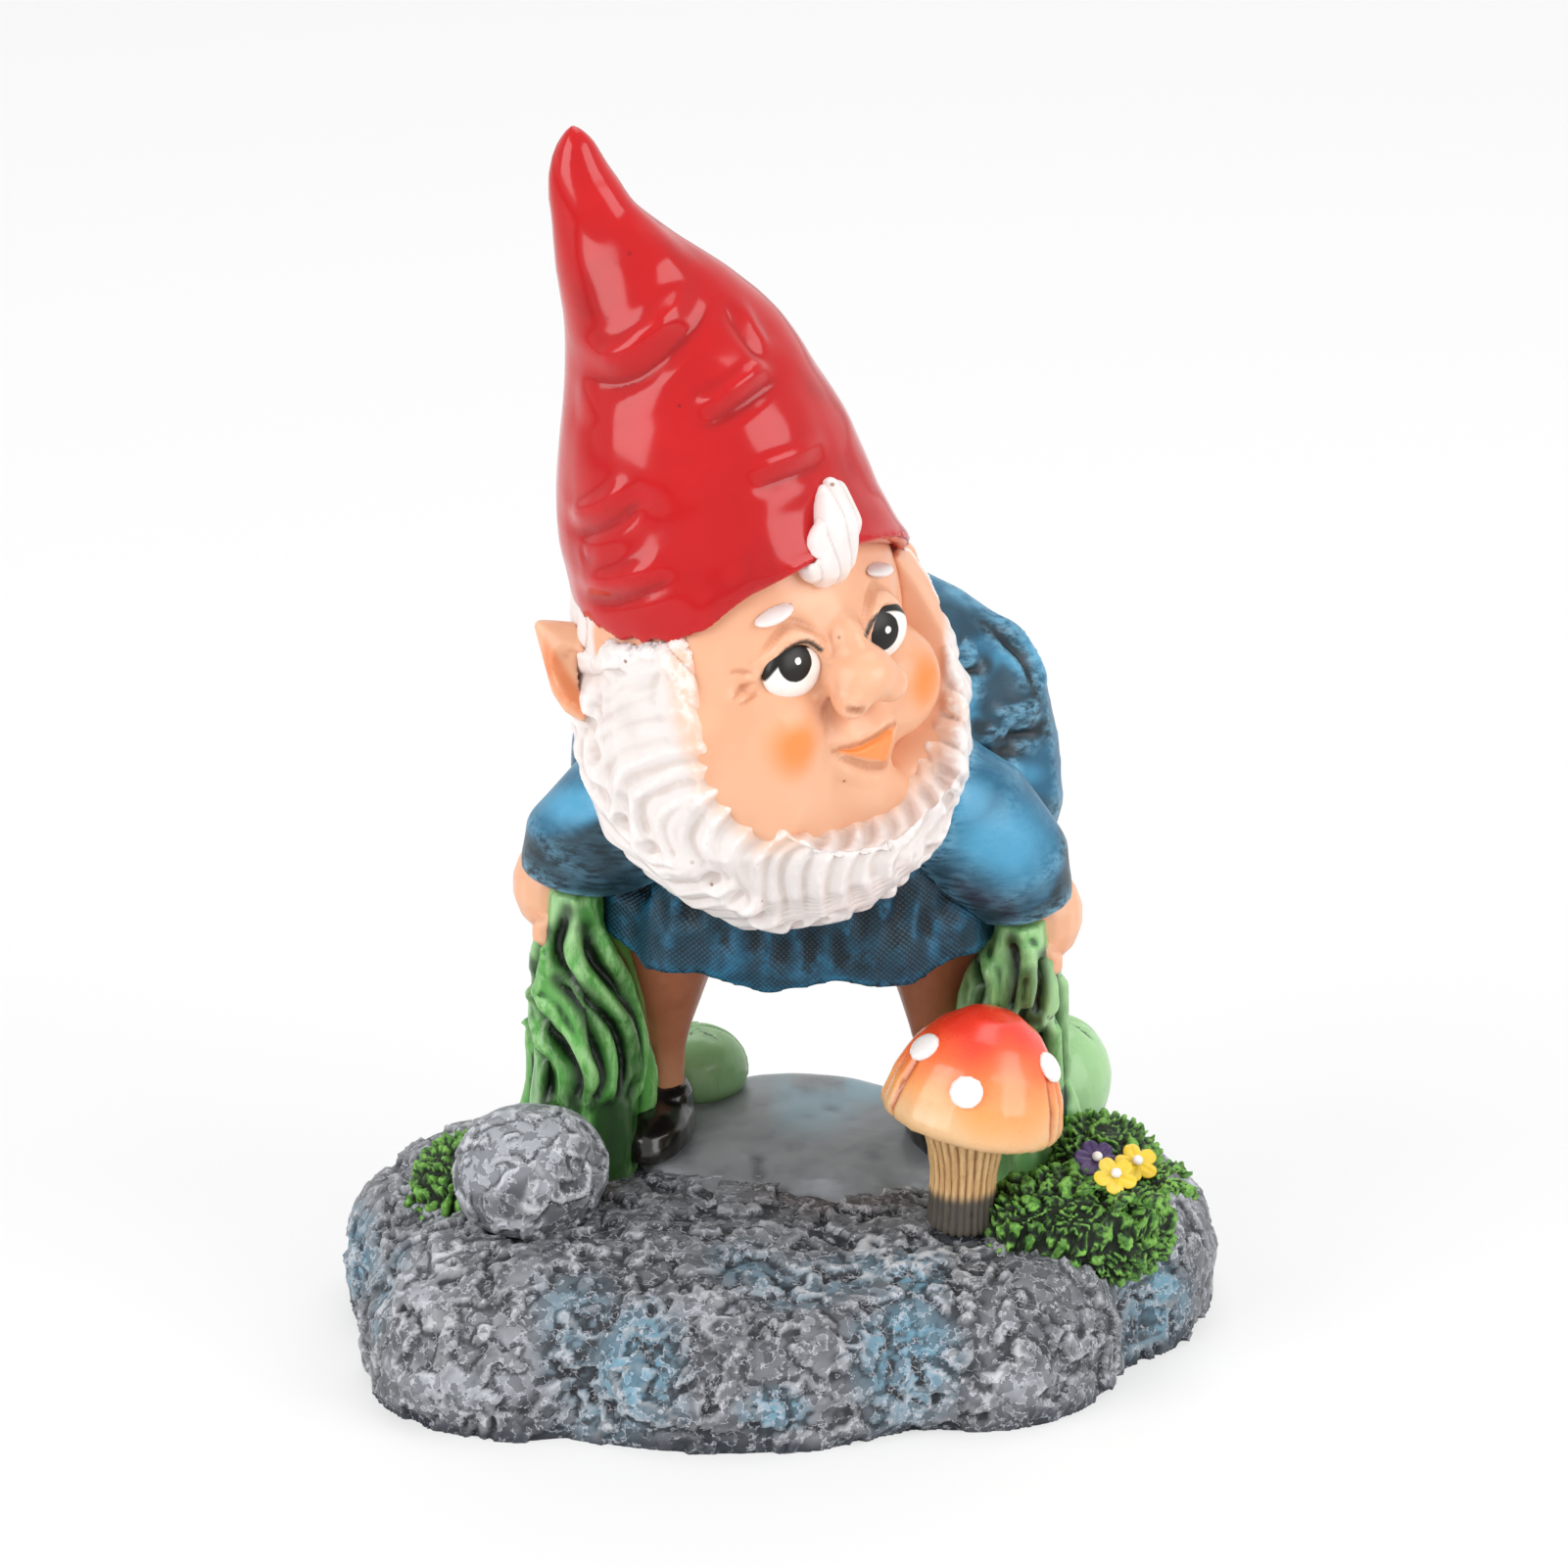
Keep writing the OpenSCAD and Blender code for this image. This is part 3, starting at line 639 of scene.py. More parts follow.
class Pot:
    """A pot of paint: one material and the nodes that mix it."""

    def __init__(self, name: str) -> None:
        """Opens an empty pot with a shader."""
        self.material = bpy.data.materials.new(name)
        self.material.use_nodes = True
        self.tree = self.material.node_tree
        self.tree.nodes.clear()
        self.shader = self.tree.nodes.new("ShaderNodeBsdfPrincipled")
        out = self.tree.nodes.new("ShaderNodeOutputMaterial")
        self.tree.links.new(self.shader.outputs[0], out.inputs["Surface"])
        self.place = self.node("ShaderNodeVectorMath", {"operation": "SCALE"},
                               {0: self.node("ShaderNodeTexCoord", out="Object"), "Scale": 1 / MM})

    def feed(self, socket: bpy.types.NodeSocket, value: object) -> None:
        """Links a wire to a socket, or sets the socket to a number or colour."""
        if isinstance(value, Wire):
            self.tree.links.new(value.socket, socket)
        else:
            socket.default_value = value

    def node(self, kind: str, settings: dict[str, object] | None = None,
             values: dict[str | int, object] | None = None, out: str | int = 0) -> Wire:
        """Adds a node.

        Args:
            kind: Type of the node.
            settings: Its own settings, set first.
            values: A number, colour or wire for each of its sockets.
            out: The output that is wanted.
        Returns:
            That output.
        """
        made = self.tree.nodes.new(kind)
        for key, value in (settings or {}).items():
            setattr(made, key, value)
        for key, value in (values or {}).items():
            self.feed(made.inputs[key], value)
        return Wire(self, made.outputs[out])

    def held(self, name: str) -> Wire:
        """Reads a number that the mesh keeps for each point."""
        return self.node("ShaderNodeAttribute", {"attribute_name": name}, out="Fac")

    def noise(self, size: float, detail: float = 3.0, stretch: Point = (1, 1, 1), rough: float = 0.55) -> Wire:
        """Adds a cloudy pattern whose patches are about so many millimetres wide."""
        at = self.place
        if stretch != (1, 1, 1):
            at = self.node("ShaderNodeVectorMath", {"operation": "MULTIPLY"}, {0: at, 1: stretch})
        return self.node("ShaderNodeTexNoise", {"noise_dimensions": "3D"},
                         {"Vector": at, "Scale": 1 / size, "Detail": detail, "Roughness": rough})

    def pits(self, size: float) -> Wire:
        """Adds a pattern of cells about so many millimetres wide, as a distance."""
        return self.node("ShaderNodeTexVoronoi", {"feature": "F1"}, {"Vector": self.place, "Scale": 1 / size},
                         out="Distance")

    def away(self, centre: Point) -> Wire:
        """Gives the distance from a place, in millimetres."""
        shift = self.node("ShaderNodeVectorMath", {"operation": "SUBTRACT"}, {0: self.place, 1: centre})
        return self.node("ShaderNodeVectorMath", {"operation": "LENGTH"}, {0: shift}, out="Value")

    def mix(self, share: Wire | float, first: object, second: object) -> Wire:
        """Mixes two colours by a share."""
        return self.node("ShaderNodeMix", {"data_type": "RGBA", "clamp_factor": True},
                         {"Factor": share, 6: first, 7: second}, out=2)

    def set(self, **values: object) -> None:
        """Sets or links the shader's sockets; an underscore stands for a space."""
        for key, value in values.items():
            self.feed(self.shader.inputs[key.replace("_", " ")], value)

    def bump(self, height: Wire, strength: float, depth: float) -> None:
        """Gives the surface small bumps, whose full depth is in millimetres."""
        values = {"Height": height, "Strength": strength, "Distance": depth * MM}
        self.set(Normal=self.node("ShaderNodeBump", {}, values, out="Normal"))
STITCH = {"around": 0.7, "up": 0.62}  # width and height of the knit's stitches, in millimetres
DARK_CLOUDS, LIGHT_CLOUDS = (0.5, 0.25), (0.5, 0.78)  # noise over which the drift's clouds come up
HOLLOWS = (0.0, -0.8)  # broad relief over which a hollow fills with the wash colour as painted shade
BRISTLES = (0.36, 0.62)  # noise over which the dry brush's bristles leave paint
COAT_ROUGHNESS = 0.12
GRAIN_DEPTH = 0.12  # in millimetres
STITCH_TONE = 0.35  # how much paler or darker a stitch's top and bottom are
CHIP_SIZE = 1.7  # width of the largest chips in the stone's paint
PINHOLE_SPACING = 4.5  # how far apart the casting's pinholes are
PINHOLE_EDGE = (0.075, 0.045)  # distances from its middle, as shares, over which a pinhole starts


@dataclass(frozen=True)
class Patch:
    """A place where another colour lies over the body colour."""

    held: str
    colour: str
    power: float = 1.0
    under_wash: bool = True


@dataclass(frozen=True)
class Finish:
    """Brushed paint on cast resin: body colour, dark wash, painted shade in the broad hollows, pale dry brush,
    dust and gloss.
    """

    name: str
    body: str
    wash: str
    light: str
    drift: float = 0.35
    drift_size: float = 7.0
    wash_power: float = 0.8
    wash_range: tuple[float, float] = (0.05, -0.75)
    # strength of the painted shade in the broad hollows
    hollow_power: float = 0.5
    light_power: float = 0.5
    light_range: tuple[float, float] = (0.15, 0.85)
    streak: Point = (1, 1, 1)
    streak_size: float = 1.2
    rough: float = 0.45
    gloss: float = 0.0
    shine: float = 0.3
    grain: float = 0.25
    grain_size: float = 0.5
    pinholes: float = 0.0
    speck: str = "7A4A30"
    weave: float = 0.0
    chips: float = 0.0
    patches: tuple[Patch, ...] = field(default_factory=tuple)

    def laid(self, pot: Pot, colour: Wire, under_wash: bool) -> Wire:
        """Lays the patches that go beneath the wash, or those that go over it."""
        for patch in (p for p in self.patches if p.under_wash is under_wash):
            colour = pot.mix(pot.held(patch.held) * patch.power, colour, tint(patch.colour))
        return colour

    def mixed(self) -> bpy.types.Material:
        """Mixes the paint."""
        pot = Pot(self.name)
        wash, light = tint(self.wash), tint(self.light)
        fine, broad = pot.held("fine"), pot.held("broad")
        cloud, brushed = pot.noise(self.drift_size), pot.noise(self.streak_size, 4, self.streak, 0.65)
        colour = pot.mix(cloud.rise(*DARK_CLOUDS) * self.drift, tint(self.body), wash)
        colour = pot.mix(cloud.rise(*LIGHT_CLOUDS) * self.drift, colour, light)
        colour = self.laid(pot, colour, True)
        # The wash lies in the fine creases, as the figure's own wash does; the broad hollows darken with
        # painted shade in the same colour.
        hollow = fine.rise(*self.wash_range) * self.wash_power + broad.rise(*HOLLOWS) * self.hollow_power
        colour = pot.mix(hollow * brushed.rise(0.25, 0.55, 0.55, 1.0), colour, wash)
        ridge = (fine * 0.6 + broad * 0.5).rise(*self.light_range) * brushed.rise(*BRISTLES)
        colour = self.laid(pot, pot.mix(ridge * self.light_power, colour, light), False)
        height = pot.noise(self.grain_size, 4, (1, 1, 1), 0.6)
        if self.weave:
            across, along = (pot.held(name) * (math.tau / stitch) for name, stitch in STITCH.items())
            knit = across.sine() * along.sine()
            height = height * 0.4 + knit * 0.6 * self.weave
            colour = pot.mix(knit.rise(0.1, 0.9) * STITCH_TONE * self.weave, colour, light)
            colour = pot.mix(knit.rise(-0.1, -0.9) * STITCH_TONE * self.weave, colour, wash)
        if self.chips:
            chip = pot.noise(CHIP_SIZE, 5, (1, 1, 1), 0.6)
            floor = chip.rise(0.49, 0.46) * self.chips
            rim = chip.rise(0.475, 0.5) * chip.rise(0.545, 0.51) * self.chips
            colour = pot.mix(floor * 0.45, colour, wash)
            colour = pot.mix(rim * brushed.rise(0.38, 0.6) * 0.6, colour, light)
            height = height * 0.3 - floor * 0.9 + rim * 0.3
        if self.pinholes:
            hole = pot.pits(PINHOLE_SPACING).rise(*PINHOLE_EDGE) * pot.noise(11, 1).rise(0.5, 0.62)
            colour = pot.mix(hole * self.pinholes, colour, tint(self.speck))
            height = height - hole * 2.0
        worn = (brushed * 0.3 + hollow * 0.2).rise(0.0, 0.5, self.rough - 0.08, self.rough + 0.12)
        pot.set(Base_Color=colour, Roughness=worn, Specular_IOR_Level=self.shine,
                Coat_Weight=self.gloss, Coat_Roughness=COAT_ROUGHNESS)
        pot.bump(height, self.grain, GRAIN_DEPTH)
        return pot.material


# ---------------------------------------------------------------- head


@dataclass
class HeadPlace:
    """Where the head sits and how it is turned."""

    at: Point = (-4.9, -3.0, 90.0)
    turn: Point = (-5.0, -6.0, 42.0)

    def matrix(self) -> np.ndarray:
        """Gives the head's own axes as columns."""
        return np.array(leaning(self.turn))

    def inside(self, p: np.ndarray) -> np.ndarray:
        """Turns points of the figure into the head's own ones."""
        return (p - np.array(self.at)) @ self.matrix()

    def outside(self, q: Sequence[float]) -> np.ndarray:
        """Turns points of the head's own into the figure's."""
        return np.asarray(q, float) @ self.matrix().T + np.array(self.at)

    def ball(self, middle: Point, radii: Point) -> Matrix:
        """Gives how a ball of unit radius lies in the head, from its middle and its three radii."""
        turn = leaning(self.turn).to_4x4()
        move = Matrix.Translation(Vector(self.outside(middle)) * MM)
        return move @ turn @ Matrix.Diagonal((*radii, 1 / MM)) * MM

    def bead(self, middle: Point, radius: float) -> Matrix:
        """Gives how a round ball lies in the head."""
        return self.ball(middle, (radius, radius, radius))

    def roll(self, path: np.ndarray, radius: float) -> list[Matrix]:
        """Lays a roll of clay along a path of the figure, thinner towards its ends."""
        places = [0.18 + 0.64 * k / (len(path) - 1) for k in range(len(path))]
        thick = [radius * math.sin(math.pi * share) for share in places]
        return [self.bead(tuple(q), t) for q, t in zip(self.inside(path), thick)]


HEAD = HeadPlace()


@dataclass
class Face:
    """The head with its lids, nose, cheeks, mouth and wrinkles.

    The flesh is balls by their middle and radii, in the head's own axes.
    """

    voxel: float = 0.305
    skull: Point = (18.75, 18.2, 19.7)
    flesh: tuple[tuple[Point, Point], ...] = (
        ((0.0, -5.0, -8.0), (17.0, 12.6, 12.4)), ((0.0, -9.5, -12.0), (10.5, 9.6, 8.6)))
    nose_wing: Point = (2.9, -21.0, -5.6)
    nose_wing_reach: float = 2.3
    nostril: tuple[Dot, ...] = ((868, 723), (873, 727), (881, 725))
    nostril_paint: tuple[Dot, ...] = ((868, 724), (880, 725))
    cheeks: tuple[Point, Point] = ((-9.6, -20.0, -9.4), (10.6, -20.0, -8.6))
    blush_reach: float = 5.0
    upper_lid: tuple[Dot, ...] = ((2.3, -3.3), (3.4, 0.5), (6.2, 2.4), (9.2, 0.9), (11.2, -1.5))
    lower_lid: tuple[Dot, ...] = ((2.3, -3.4), (4.1, -5.6), (6.6, -6.0), (9.2, -4.6), (11.2, -1.7))
    lid_roll: float = 0.95
    lid_crease: float = 1.9
    lashes: tuple[tuple[Dot, ...], ...] = (
        ((779, 690), (790, 679), (799, 667), (812, 658), (826, 656), (838, 664)),
        ((884, 649), (890, 636), (899, 626), (909, 625), (917, 634)))
    lips: tuple[Dot, ...] = (
        (853, 767), (866, 765), (880, 761), (896, 752), (913, 740), (911, 757), (905, 777), (888, 775),
        (868, 771))
    lip_line: tuple[Dot, ...] = ((851, 767), (866, 765), (880, 761), (896, 752), (914, 739))
    lip_foot: tuple[Dot, ...] = ((852, 769), (867, 778), (888, 784), (904, 781), (910, 765))
    lip_rise: float = 0.45
    crows_feet: tuple[tuple[Dot, ...], ...] = (
        ((774, 690), (755, 686), (738, 690)), ((775, 696), (757, 703), (747, 718)),
        ((778, 702), (765, 713), (752, 722)))
    smile: tuple[Dot, ...] = ((859, 703), (853, 714), (850, 728), (851, 745), (850, 762))
    jowl: float = 2.3
    jowl_skin: float = 0.1
    jowl_bulge: float = 0.5
    jowl_columns: int = 34
    jowl_rows: tuple[float, ...] = (0.0, 0.17, 0.34, 0.5, 0.67, 0.84, 1.0)
    cheek_line: tuple[Dot, ...] = (
        (733, 656), (744, 700), (758, 738), (776, 764), (800, 783), (822, 794), (850, 801), (882, 797),
        (910, 776), (930, 750))
    beard_line: tuple[Dot, ...] = (
        (702, 662), (706, 702), (716, 750), (736, 795), (758, 820), (806, 848), (855, 838), (898, 822),
        (938, 788), (962, 755))
    chin: tuple[Dot, ...] = (
        (740, 770), (770, 780), (800, 800), (840, 806), (900, 796), (950, 760), (950, 800), (900, 850),
        (800, 860))
    chin_hollow: Oval = (815, 812, 34, 44)
    nape_starts: tuple[float, float] = (2.5, 4.0)
    nape_locks: float = 19.0
    nape_depth: float = 0.6

    def jowls(self) -> list[Matrix]:
        """Fills the step between the cheeks and the beard's edge with rows of balls."""
        found = []
        for line in (self.cheek_line, self.beard_line):
            dots = curve_through(line, 12)
            chosen = np.linspace(0, len(dots) - 1, self.jowl_columns).astype(int)
            found.append(on_solids(["head", "beard"], dots[chosen]))
        balls = []
        for near, far in zip(*found):
            for share in self.jowl_rows:
                deep = self.jowl - self.jowl_skin - self.jowl_bulge * math.sin(math.pi * share) ** 2
                spot = np.array(near.lerp(far, share)) - SHEET.axes()[:, 2] * deep
                balls.append(HEAD.bead(tuple(HEAD.inside(spot)), self.jowl))
        return balls

    def over_skull(self, side: int, line: Sequence[Dot], lift: float) -> np.ndarray:
        """Lays a line of the face's front, given by breadth and height, over the skull."""
        rows = []
        for x, z in curve_through(line, 0.5):
            y = -self.skull[1] * math.sqrt(1 - (x / self.skull[0]) ** 2 - (z / self.skull[2]) ** 2) - lift
            rows.append(HEAD.outside((side * x, y, z)))
        return np.array(rows)

    def skin(self, edges: Sequence[np.ndarray]) -> Clay:
        """Builds up the head with its flesh and lids, and evens out what lies between them.

        Args:
            edges: Paths of the four lids.
        Returns:
            The clay of the head.
        """
        x, y, z = self.nose_wing
        balls = [HEAD.bead((side * x, y, z), self.nose_wing_reach) for side, _ in SIDES]
        balls += [HEAD.ball(middle, radii) for middle, radii in self.flesh] + self.jowls()
        balls += [ball for path in edges for ball in HEAD.roll(path, self.lid_roll)]
        clay = Clay("face_and_skull", ["head"], self.voxel, balls=balls)
        rest = 1 - most(*(clay.brush(path, 2.2, 0.6) for path in edges))
        clay.smooth(6)
        clay.smooth(14, rest)
        clay.smooth(60, most(clay.painted(self.cheek_line, 4.5), clay.area(self.chin, 30)) * rest)
        clay.smooth(90, clay.spots([self.chin_hollow]))
        return clay

    def mouth(self, clay: Clay) -> None:
        """Raises the lips and draws the lines round them."""
        clay.push(self.lip_rise * clay.area(self.lips, 9))
        clay.line(self.lip_foot, 1.0, -0.4, taper=0.25)
        clay.line([(u, v + 9) for u, v in self.lip_foot[:4]], 1.6, 0.35)
        clay.line(self.lip_line, 0.9, -0.6, taper=0.15)
        clay.line([(u, v - 8) for u, v in self.lip_line[1:]], 1.6, 0.25)

    def build(self, paint: bpy.types.Material) -> None:
        """Models and dresses the head."""
        lids = (self.upper_lid, self.lower_lid)
        clay = self.skin([self.over_skull(side, lid, 0.1) for side, _ in SIDES for lid in lids])
        clay.line(self.smile, 2.8, -0.3)
        start, width = self.upper_lid[0][0], self.upper_lid[-1][0] - self.upper_lid[0][0]
        crease = [(x, z + self.lid_crease * math.sin(math.pi * (x - start) / width)) for x, z in self.upper_lid]
        for side, _ in SIDES:
            clay.stroke(self.over_skull(side, crease, 0.4), 1.0, -0.35)
        clay.line(self.nostril, 0.9, -0.45)
        self.mouth(clay)
        for line in self.crows_feet:
            clay.line(line, 0.7, -0.35, Tool.SHARP, 0.35)
        clay.push(clay.ripple(5, 3) * 0.05)
        q = HEAD.inside(clay.p)
        wave = np.arctan2(q[:, 0], q[:, 1]) * self.nape_locks + 1.3 * np.sin(q[:, 2] * 0.5)
        clay.push((np.abs(np.cos(wave)) ** 0.7 * self.nape_depth - 0.2) * soft(q[:, 1], 3, 7))
        self.dress(clay, paint)

    def dress(self, clay: Clay, paint: bpy.types.Material) -> None:
        """Lays the blush, the lips and the lines round the eyes on the head."""
        q = HEAD.inside(clay.p)
        aways = [np.linalg.norm((q - np.array(cheek)) * (1, 0.5, 1), axis=1) for cheek in self.cheeks]
        blush = most(*(1 - soft(away, self.blush_reach * 0.2, self.blush_reach) for away in aways))
        lines = [clay.painted(self.smile, 2.2, 0.0) * 0.2, clay.painted(self.lip_line, 0.55, 0.1),
                 clay.painted(self.lip_foot, 0.6, 0.1) * 0.35, clay.painted(self.nostril_paint, 0.8) * 0.8]
        lines += [clay.brush(self.over_skull(side, self.lower_lid, 0.5), 0.8, 0.0) * 0.25 for side, _ in SIDES]
        clay.finish(paint, "skin", blush=blush, lips=clay.area(self.lips, 3.5), lidline=most(*lines),
                    lash=most(*(clay.painted(lid, 0.5, 0.35) for lid in self.lashes)),
                    nape=soft(q[:, 1] + ripple(q, 3, 9, 2) * 0.8, *self.nape_starts))


@dataclass
class Ears:
    """The two pointed ears."""

    voxel: float = 0.25
    bowl: tuple[Dot, ...] = ((556, 650), (566, 664), (582, 690), (606, 724), (600, 736), (572, 714), (554, 684))

    def build(self, paint: bpy.types.Material) -> None:
        """Models and dresses both ears."""
        for _, name in SIDES:
            clay = Clay(name + "_ear_shell", [name + "_ear"], self.voxel, relax=4)
            inner = soft(-clay.relief(30, 0.5), 0.1, 0.7) * soft(-clay.n[:, 1], 0.0, 0.4)
            if name == "left":
                inner = most(inner, clay.area(self.bowl, 9))
            clay.finish(paint, "skin", inner=inner)


@dataclass
class Eyes:
    """Glossy painted eyeballs."""

    middle: Point = (6.4, -16.1, -1.5)
    size: Point = (4.1, 2.1, 3.5)
    irises: tuple[Dot, Dot] = ((813, 676), (903, 645))
    iris_reach: float = 2.2
    glints: tuple[Dot, Dot] = ((815, 675), (907, 643))
    glint_reach: float = 0.42
    # Beyond this reach from this middle the eyeball is black: partly the painted lash and partly painted shadow
    # of the upper lid.
    white_middle: Point = (6.3, -17.2, -4.2)
    white_reach: float = 4.9
    black: str = "15130F"

    def build(self) -> None:
        """Models and dresses both eyes."""
        for (side, name), iris, glint in zip(SIDES, self.irises, self.glints):
            bpy.ops.object.select_all(action="DESELECT")
            bpy.ops.mesh.primitive_uv_sphere_add(segments=64, ring_count=48, radius=1)
            ball = bpy.context.object
            ball.name = name + "_eye_ball"
            middle = np.array(self.middle) * (side, 1, 1)
            points = HEAD.outside(np.array([v.co for v in ball.data.vertices]) * self.size + middle)
            ball.data.vertices.foreach_set("co", (points * MM).astype(np.float32).ravel())
            ball.data.update()
            bpy.context.view_layer.update()
            tree = BVHTree.FromObject(ball, bpy.context.evaluated_depsgraph_get())
            spots = []
            for dot in (iris, glint):
                eye, way = SHEET.ray(dot)
                found = tree.ray_cast(eye * MM, way)[0]
                spots.append(tuple(found / MM) if found else tuple(HEAD.outside(middle)))
            settle(ball, self.paint(side, name, *spots), "eye", name + "_eye")

    def paint(self, side: int, name: str, iris: Point, glint: Point) -> bpy.types.Material:
        """Mixes the eye's paint: white, a black iris and one white dot.

        Args:
            side: -1 for the left eye and 1 for the right one.
            name: The side's name.
            iris: Middle of the iris.
            glint: Middle of the white dot.
        Returns:
            The paint.
        """
        pot = Pot(name + "_eye_paint")
        black, x, (y, z) = tint(self.black), side * self.white_middle[0], self.white_middle[1:]
        white = pot.mix(pot.noise(2.0).rise(0.35, 0.7) * 0.35, tint("F6F2EE"), tint("E2D6D0"))
        away = pot.away(iris) + pot.noise(1.2, 2) * 0.25
        colour = pot.mix(away.rise(self.iris_reach + 0.25, self.iris_reach + 0.05), white, black)
        # The eyeball's top is painted black: partly the lash and partly painted shadow of the upper lid.
        rim = pot.away(tuple(HEAD.outside((x, y, z))))
        colour = pot.mix(rim.rise(self.white_reach, self.white_reach + 0.25), colour, black)
        dot = pot.away(glint) + pot.noise(0.6, 2) * 0.15
        colour = pot.mix(dot.rise(self.glint_reach + 0.13, self.glint_reach), colour, tint("F4F4F4"))
        pot.set(Base_Color=colour, Roughness=0.35, Specular_IOR_Level=0.25,
                Coat_Weight=0.1, Coat_Roughness=0.25)
        pot.bump(pot.noise(0.8, 2), 0.1, 0.05)
        return pot.material


# ---------------------------------------------------------------- hair


@dataclass
class Beard:
    """The full beard with its S-shaped locks, the eyebrows and the forelock.

    Of a width or depth of two numbers, the first is the least and the second what chance adds.
    A dent or tip is given by its reach and its height.
    """

    voxel: float = 0.315
    tuft_voxel: float = 0.22
    locks: float = 6.4
    middle: Dot = (0.0, -6.0)
    bend: tuple[float, float] = (13, 25)
    hang: float = 0.75
    fan: float = 14.5
    fan_reach: float = 1.9
    lock_sway: float = 0.42
    lock_fullness: float = 0.55
    strand_grooves: int = 3
    parting_width: tuple[float, float] = (1.6, 0.5)
    parting_depth: float = 1.1
    strand_width: tuple[float, float] = (0.7, 0.6)
    strand_depth: tuple[float, float] = (0.1, 0.42)
    dent: tuple[float, float] = (2.3, -1.5)
    tip: tuple[float, float] = (2.6, 0.55)
    bare: tuple[Dot, ...] = ((709, 640), (706, 673), (716, 750), (737, 796), (760, 821), (790, 852), (816, 836),
                             (857, 830), (898, 814), (928, 786), (964, 724), (966, 560), (880, 540))
    partings: tuple[tuple[Dot, ...], ...] = (
        ((673, 663), (650, 675), (632, 687), (617, 702), (603, 715)),
        ((692, 687), (667, 697), (643, 707), (623, 717), (603, 730)),
        ((700, 707), (673, 715), (647, 725), (623, 733), (600, 745)),
        ((710, 733), (683, 737), (653, 743), (627, 753), (603, 767)),
        ((722, 757), (690, 758), (657, 767), (628, 782), (613, 815)),
        ((733, 777), (700, 778), (667, 788), (640, 807), (635, 846)),
        ((747, 793), (717, 797), (683, 807), (660, 830), (661, 873)),
        ((762, 807), (733, 817), (713, 840), (711, 867), (726, 904)),
        ((777, 822), (753, 833), (737, 860), (740, 887), (750, 922)),
        ((790, 842), (773, 857), (760, 880), (767, 907), (772, 940)),
        ((817, 842), (803, 860), (787, 883), (790, 910), (789, 950)),
        ((840, 838), (830, 860), (807, 883), (807, 910), (810, 954)),
        ((860, 834), (857, 857), (833, 883), (830, 910), (831, 956)),
        ((880, 827), (883, 850), (863, 877), (857, 907), (852, 953)),
        ((900, 817), (908, 843), (893, 870), (883, 900), (878, 944)),
        ((917, 807), (927, 837), (917, 863), (903, 890), (904, 932)),
        ((933, 793), (948, 823), (945, 853), (930, 880), (928, 915)),
        ((947, 777), (967, 807), (970, 837), (957, 867), (955, 900)),
        ((960, 757), (980, 783), (985, 813), (977, 843), (979, 880)))
    behind_ear: tuple[Dot, ...] = (
        (570, 628), (640, 628), (641, 652), (626, 676), (606, 700), (588, 716), (575, 716))
    nape: tuple[tuple[Dot, ...], ...] = (
        ((598, 735), (591, 757), (592, 780), (603, 803), (618, 830)),
        ((586, 738), (583, 755), (585, 775), (594, 796), (604, 812)))
    sway: tuple[Dot, ...] = ((0, 0), (5, 2), (0, 0), (-6, 0), (2, 0))
    swaying_from: int = 4
    shallow_rows: int = 5
    strand_places: tuple[float, ...] = (0.0, 0.22, 0.45, 0.7)
    side_hair: tuple[Oval, ...] = ((650, 672, 62, 30), (690, 690, 26, 60))

    def strands(self, q: np.ndarray) -> np.ndarray:
        """Gives the height of the hidden locks: they leave the face all round, bend down and sway."""
        x, z = q[:, 0] - self.middle[0], q[:, 2] - self.middle[1]
        r, a = np.hypot(x, z), np.arctan2(x, -z)
        hang = soft(r, *self.bend) * self.hang
        way = a * (1 - hang) + np.clip(x / self.fan, -self.fan_reach, self.fan_reach) * hang
        slow = ripple(np.stack([way * 6, r * 0.15, r * 0], axis=1), 2.2, 11, 1)
        lock = way * self.locks + self.lock_sway * np.sin(r * 0.46 + slow * 2.4) + 0.25 * slow
        number, share = np.floor(lock), lock - np.floor(lock)
        cell = np.stack([number, number * 0, number * 0], axis=1)
        tall, lean = scatter(cell, 3), scatter(cell, 4) - 0.5
        crown = np.sin(math.pi * share) ** self.lock_fullness
        bent = share * self.strand_grooves + 0.35 * np.sin(r * 0.7 + tall * 6)
        grooves = np.abs(np.sin(math.pi * bent)) ** 0.6
        return crown * (0.85 + 0.5 * tall) + lean * (share - 0.5) * 0.9 + 0.28 * grooves - 1.0

    def swayed(self) -> list[list[Dot]]:
        """Gives the partings, the lower ones bent to and fro."""
        return [[(u + a * (row >= self.swaying_from), v + b) for (u, v), (a, b) in zip(line, self.sway)]
                for row, line in enumerate(self.partings)]

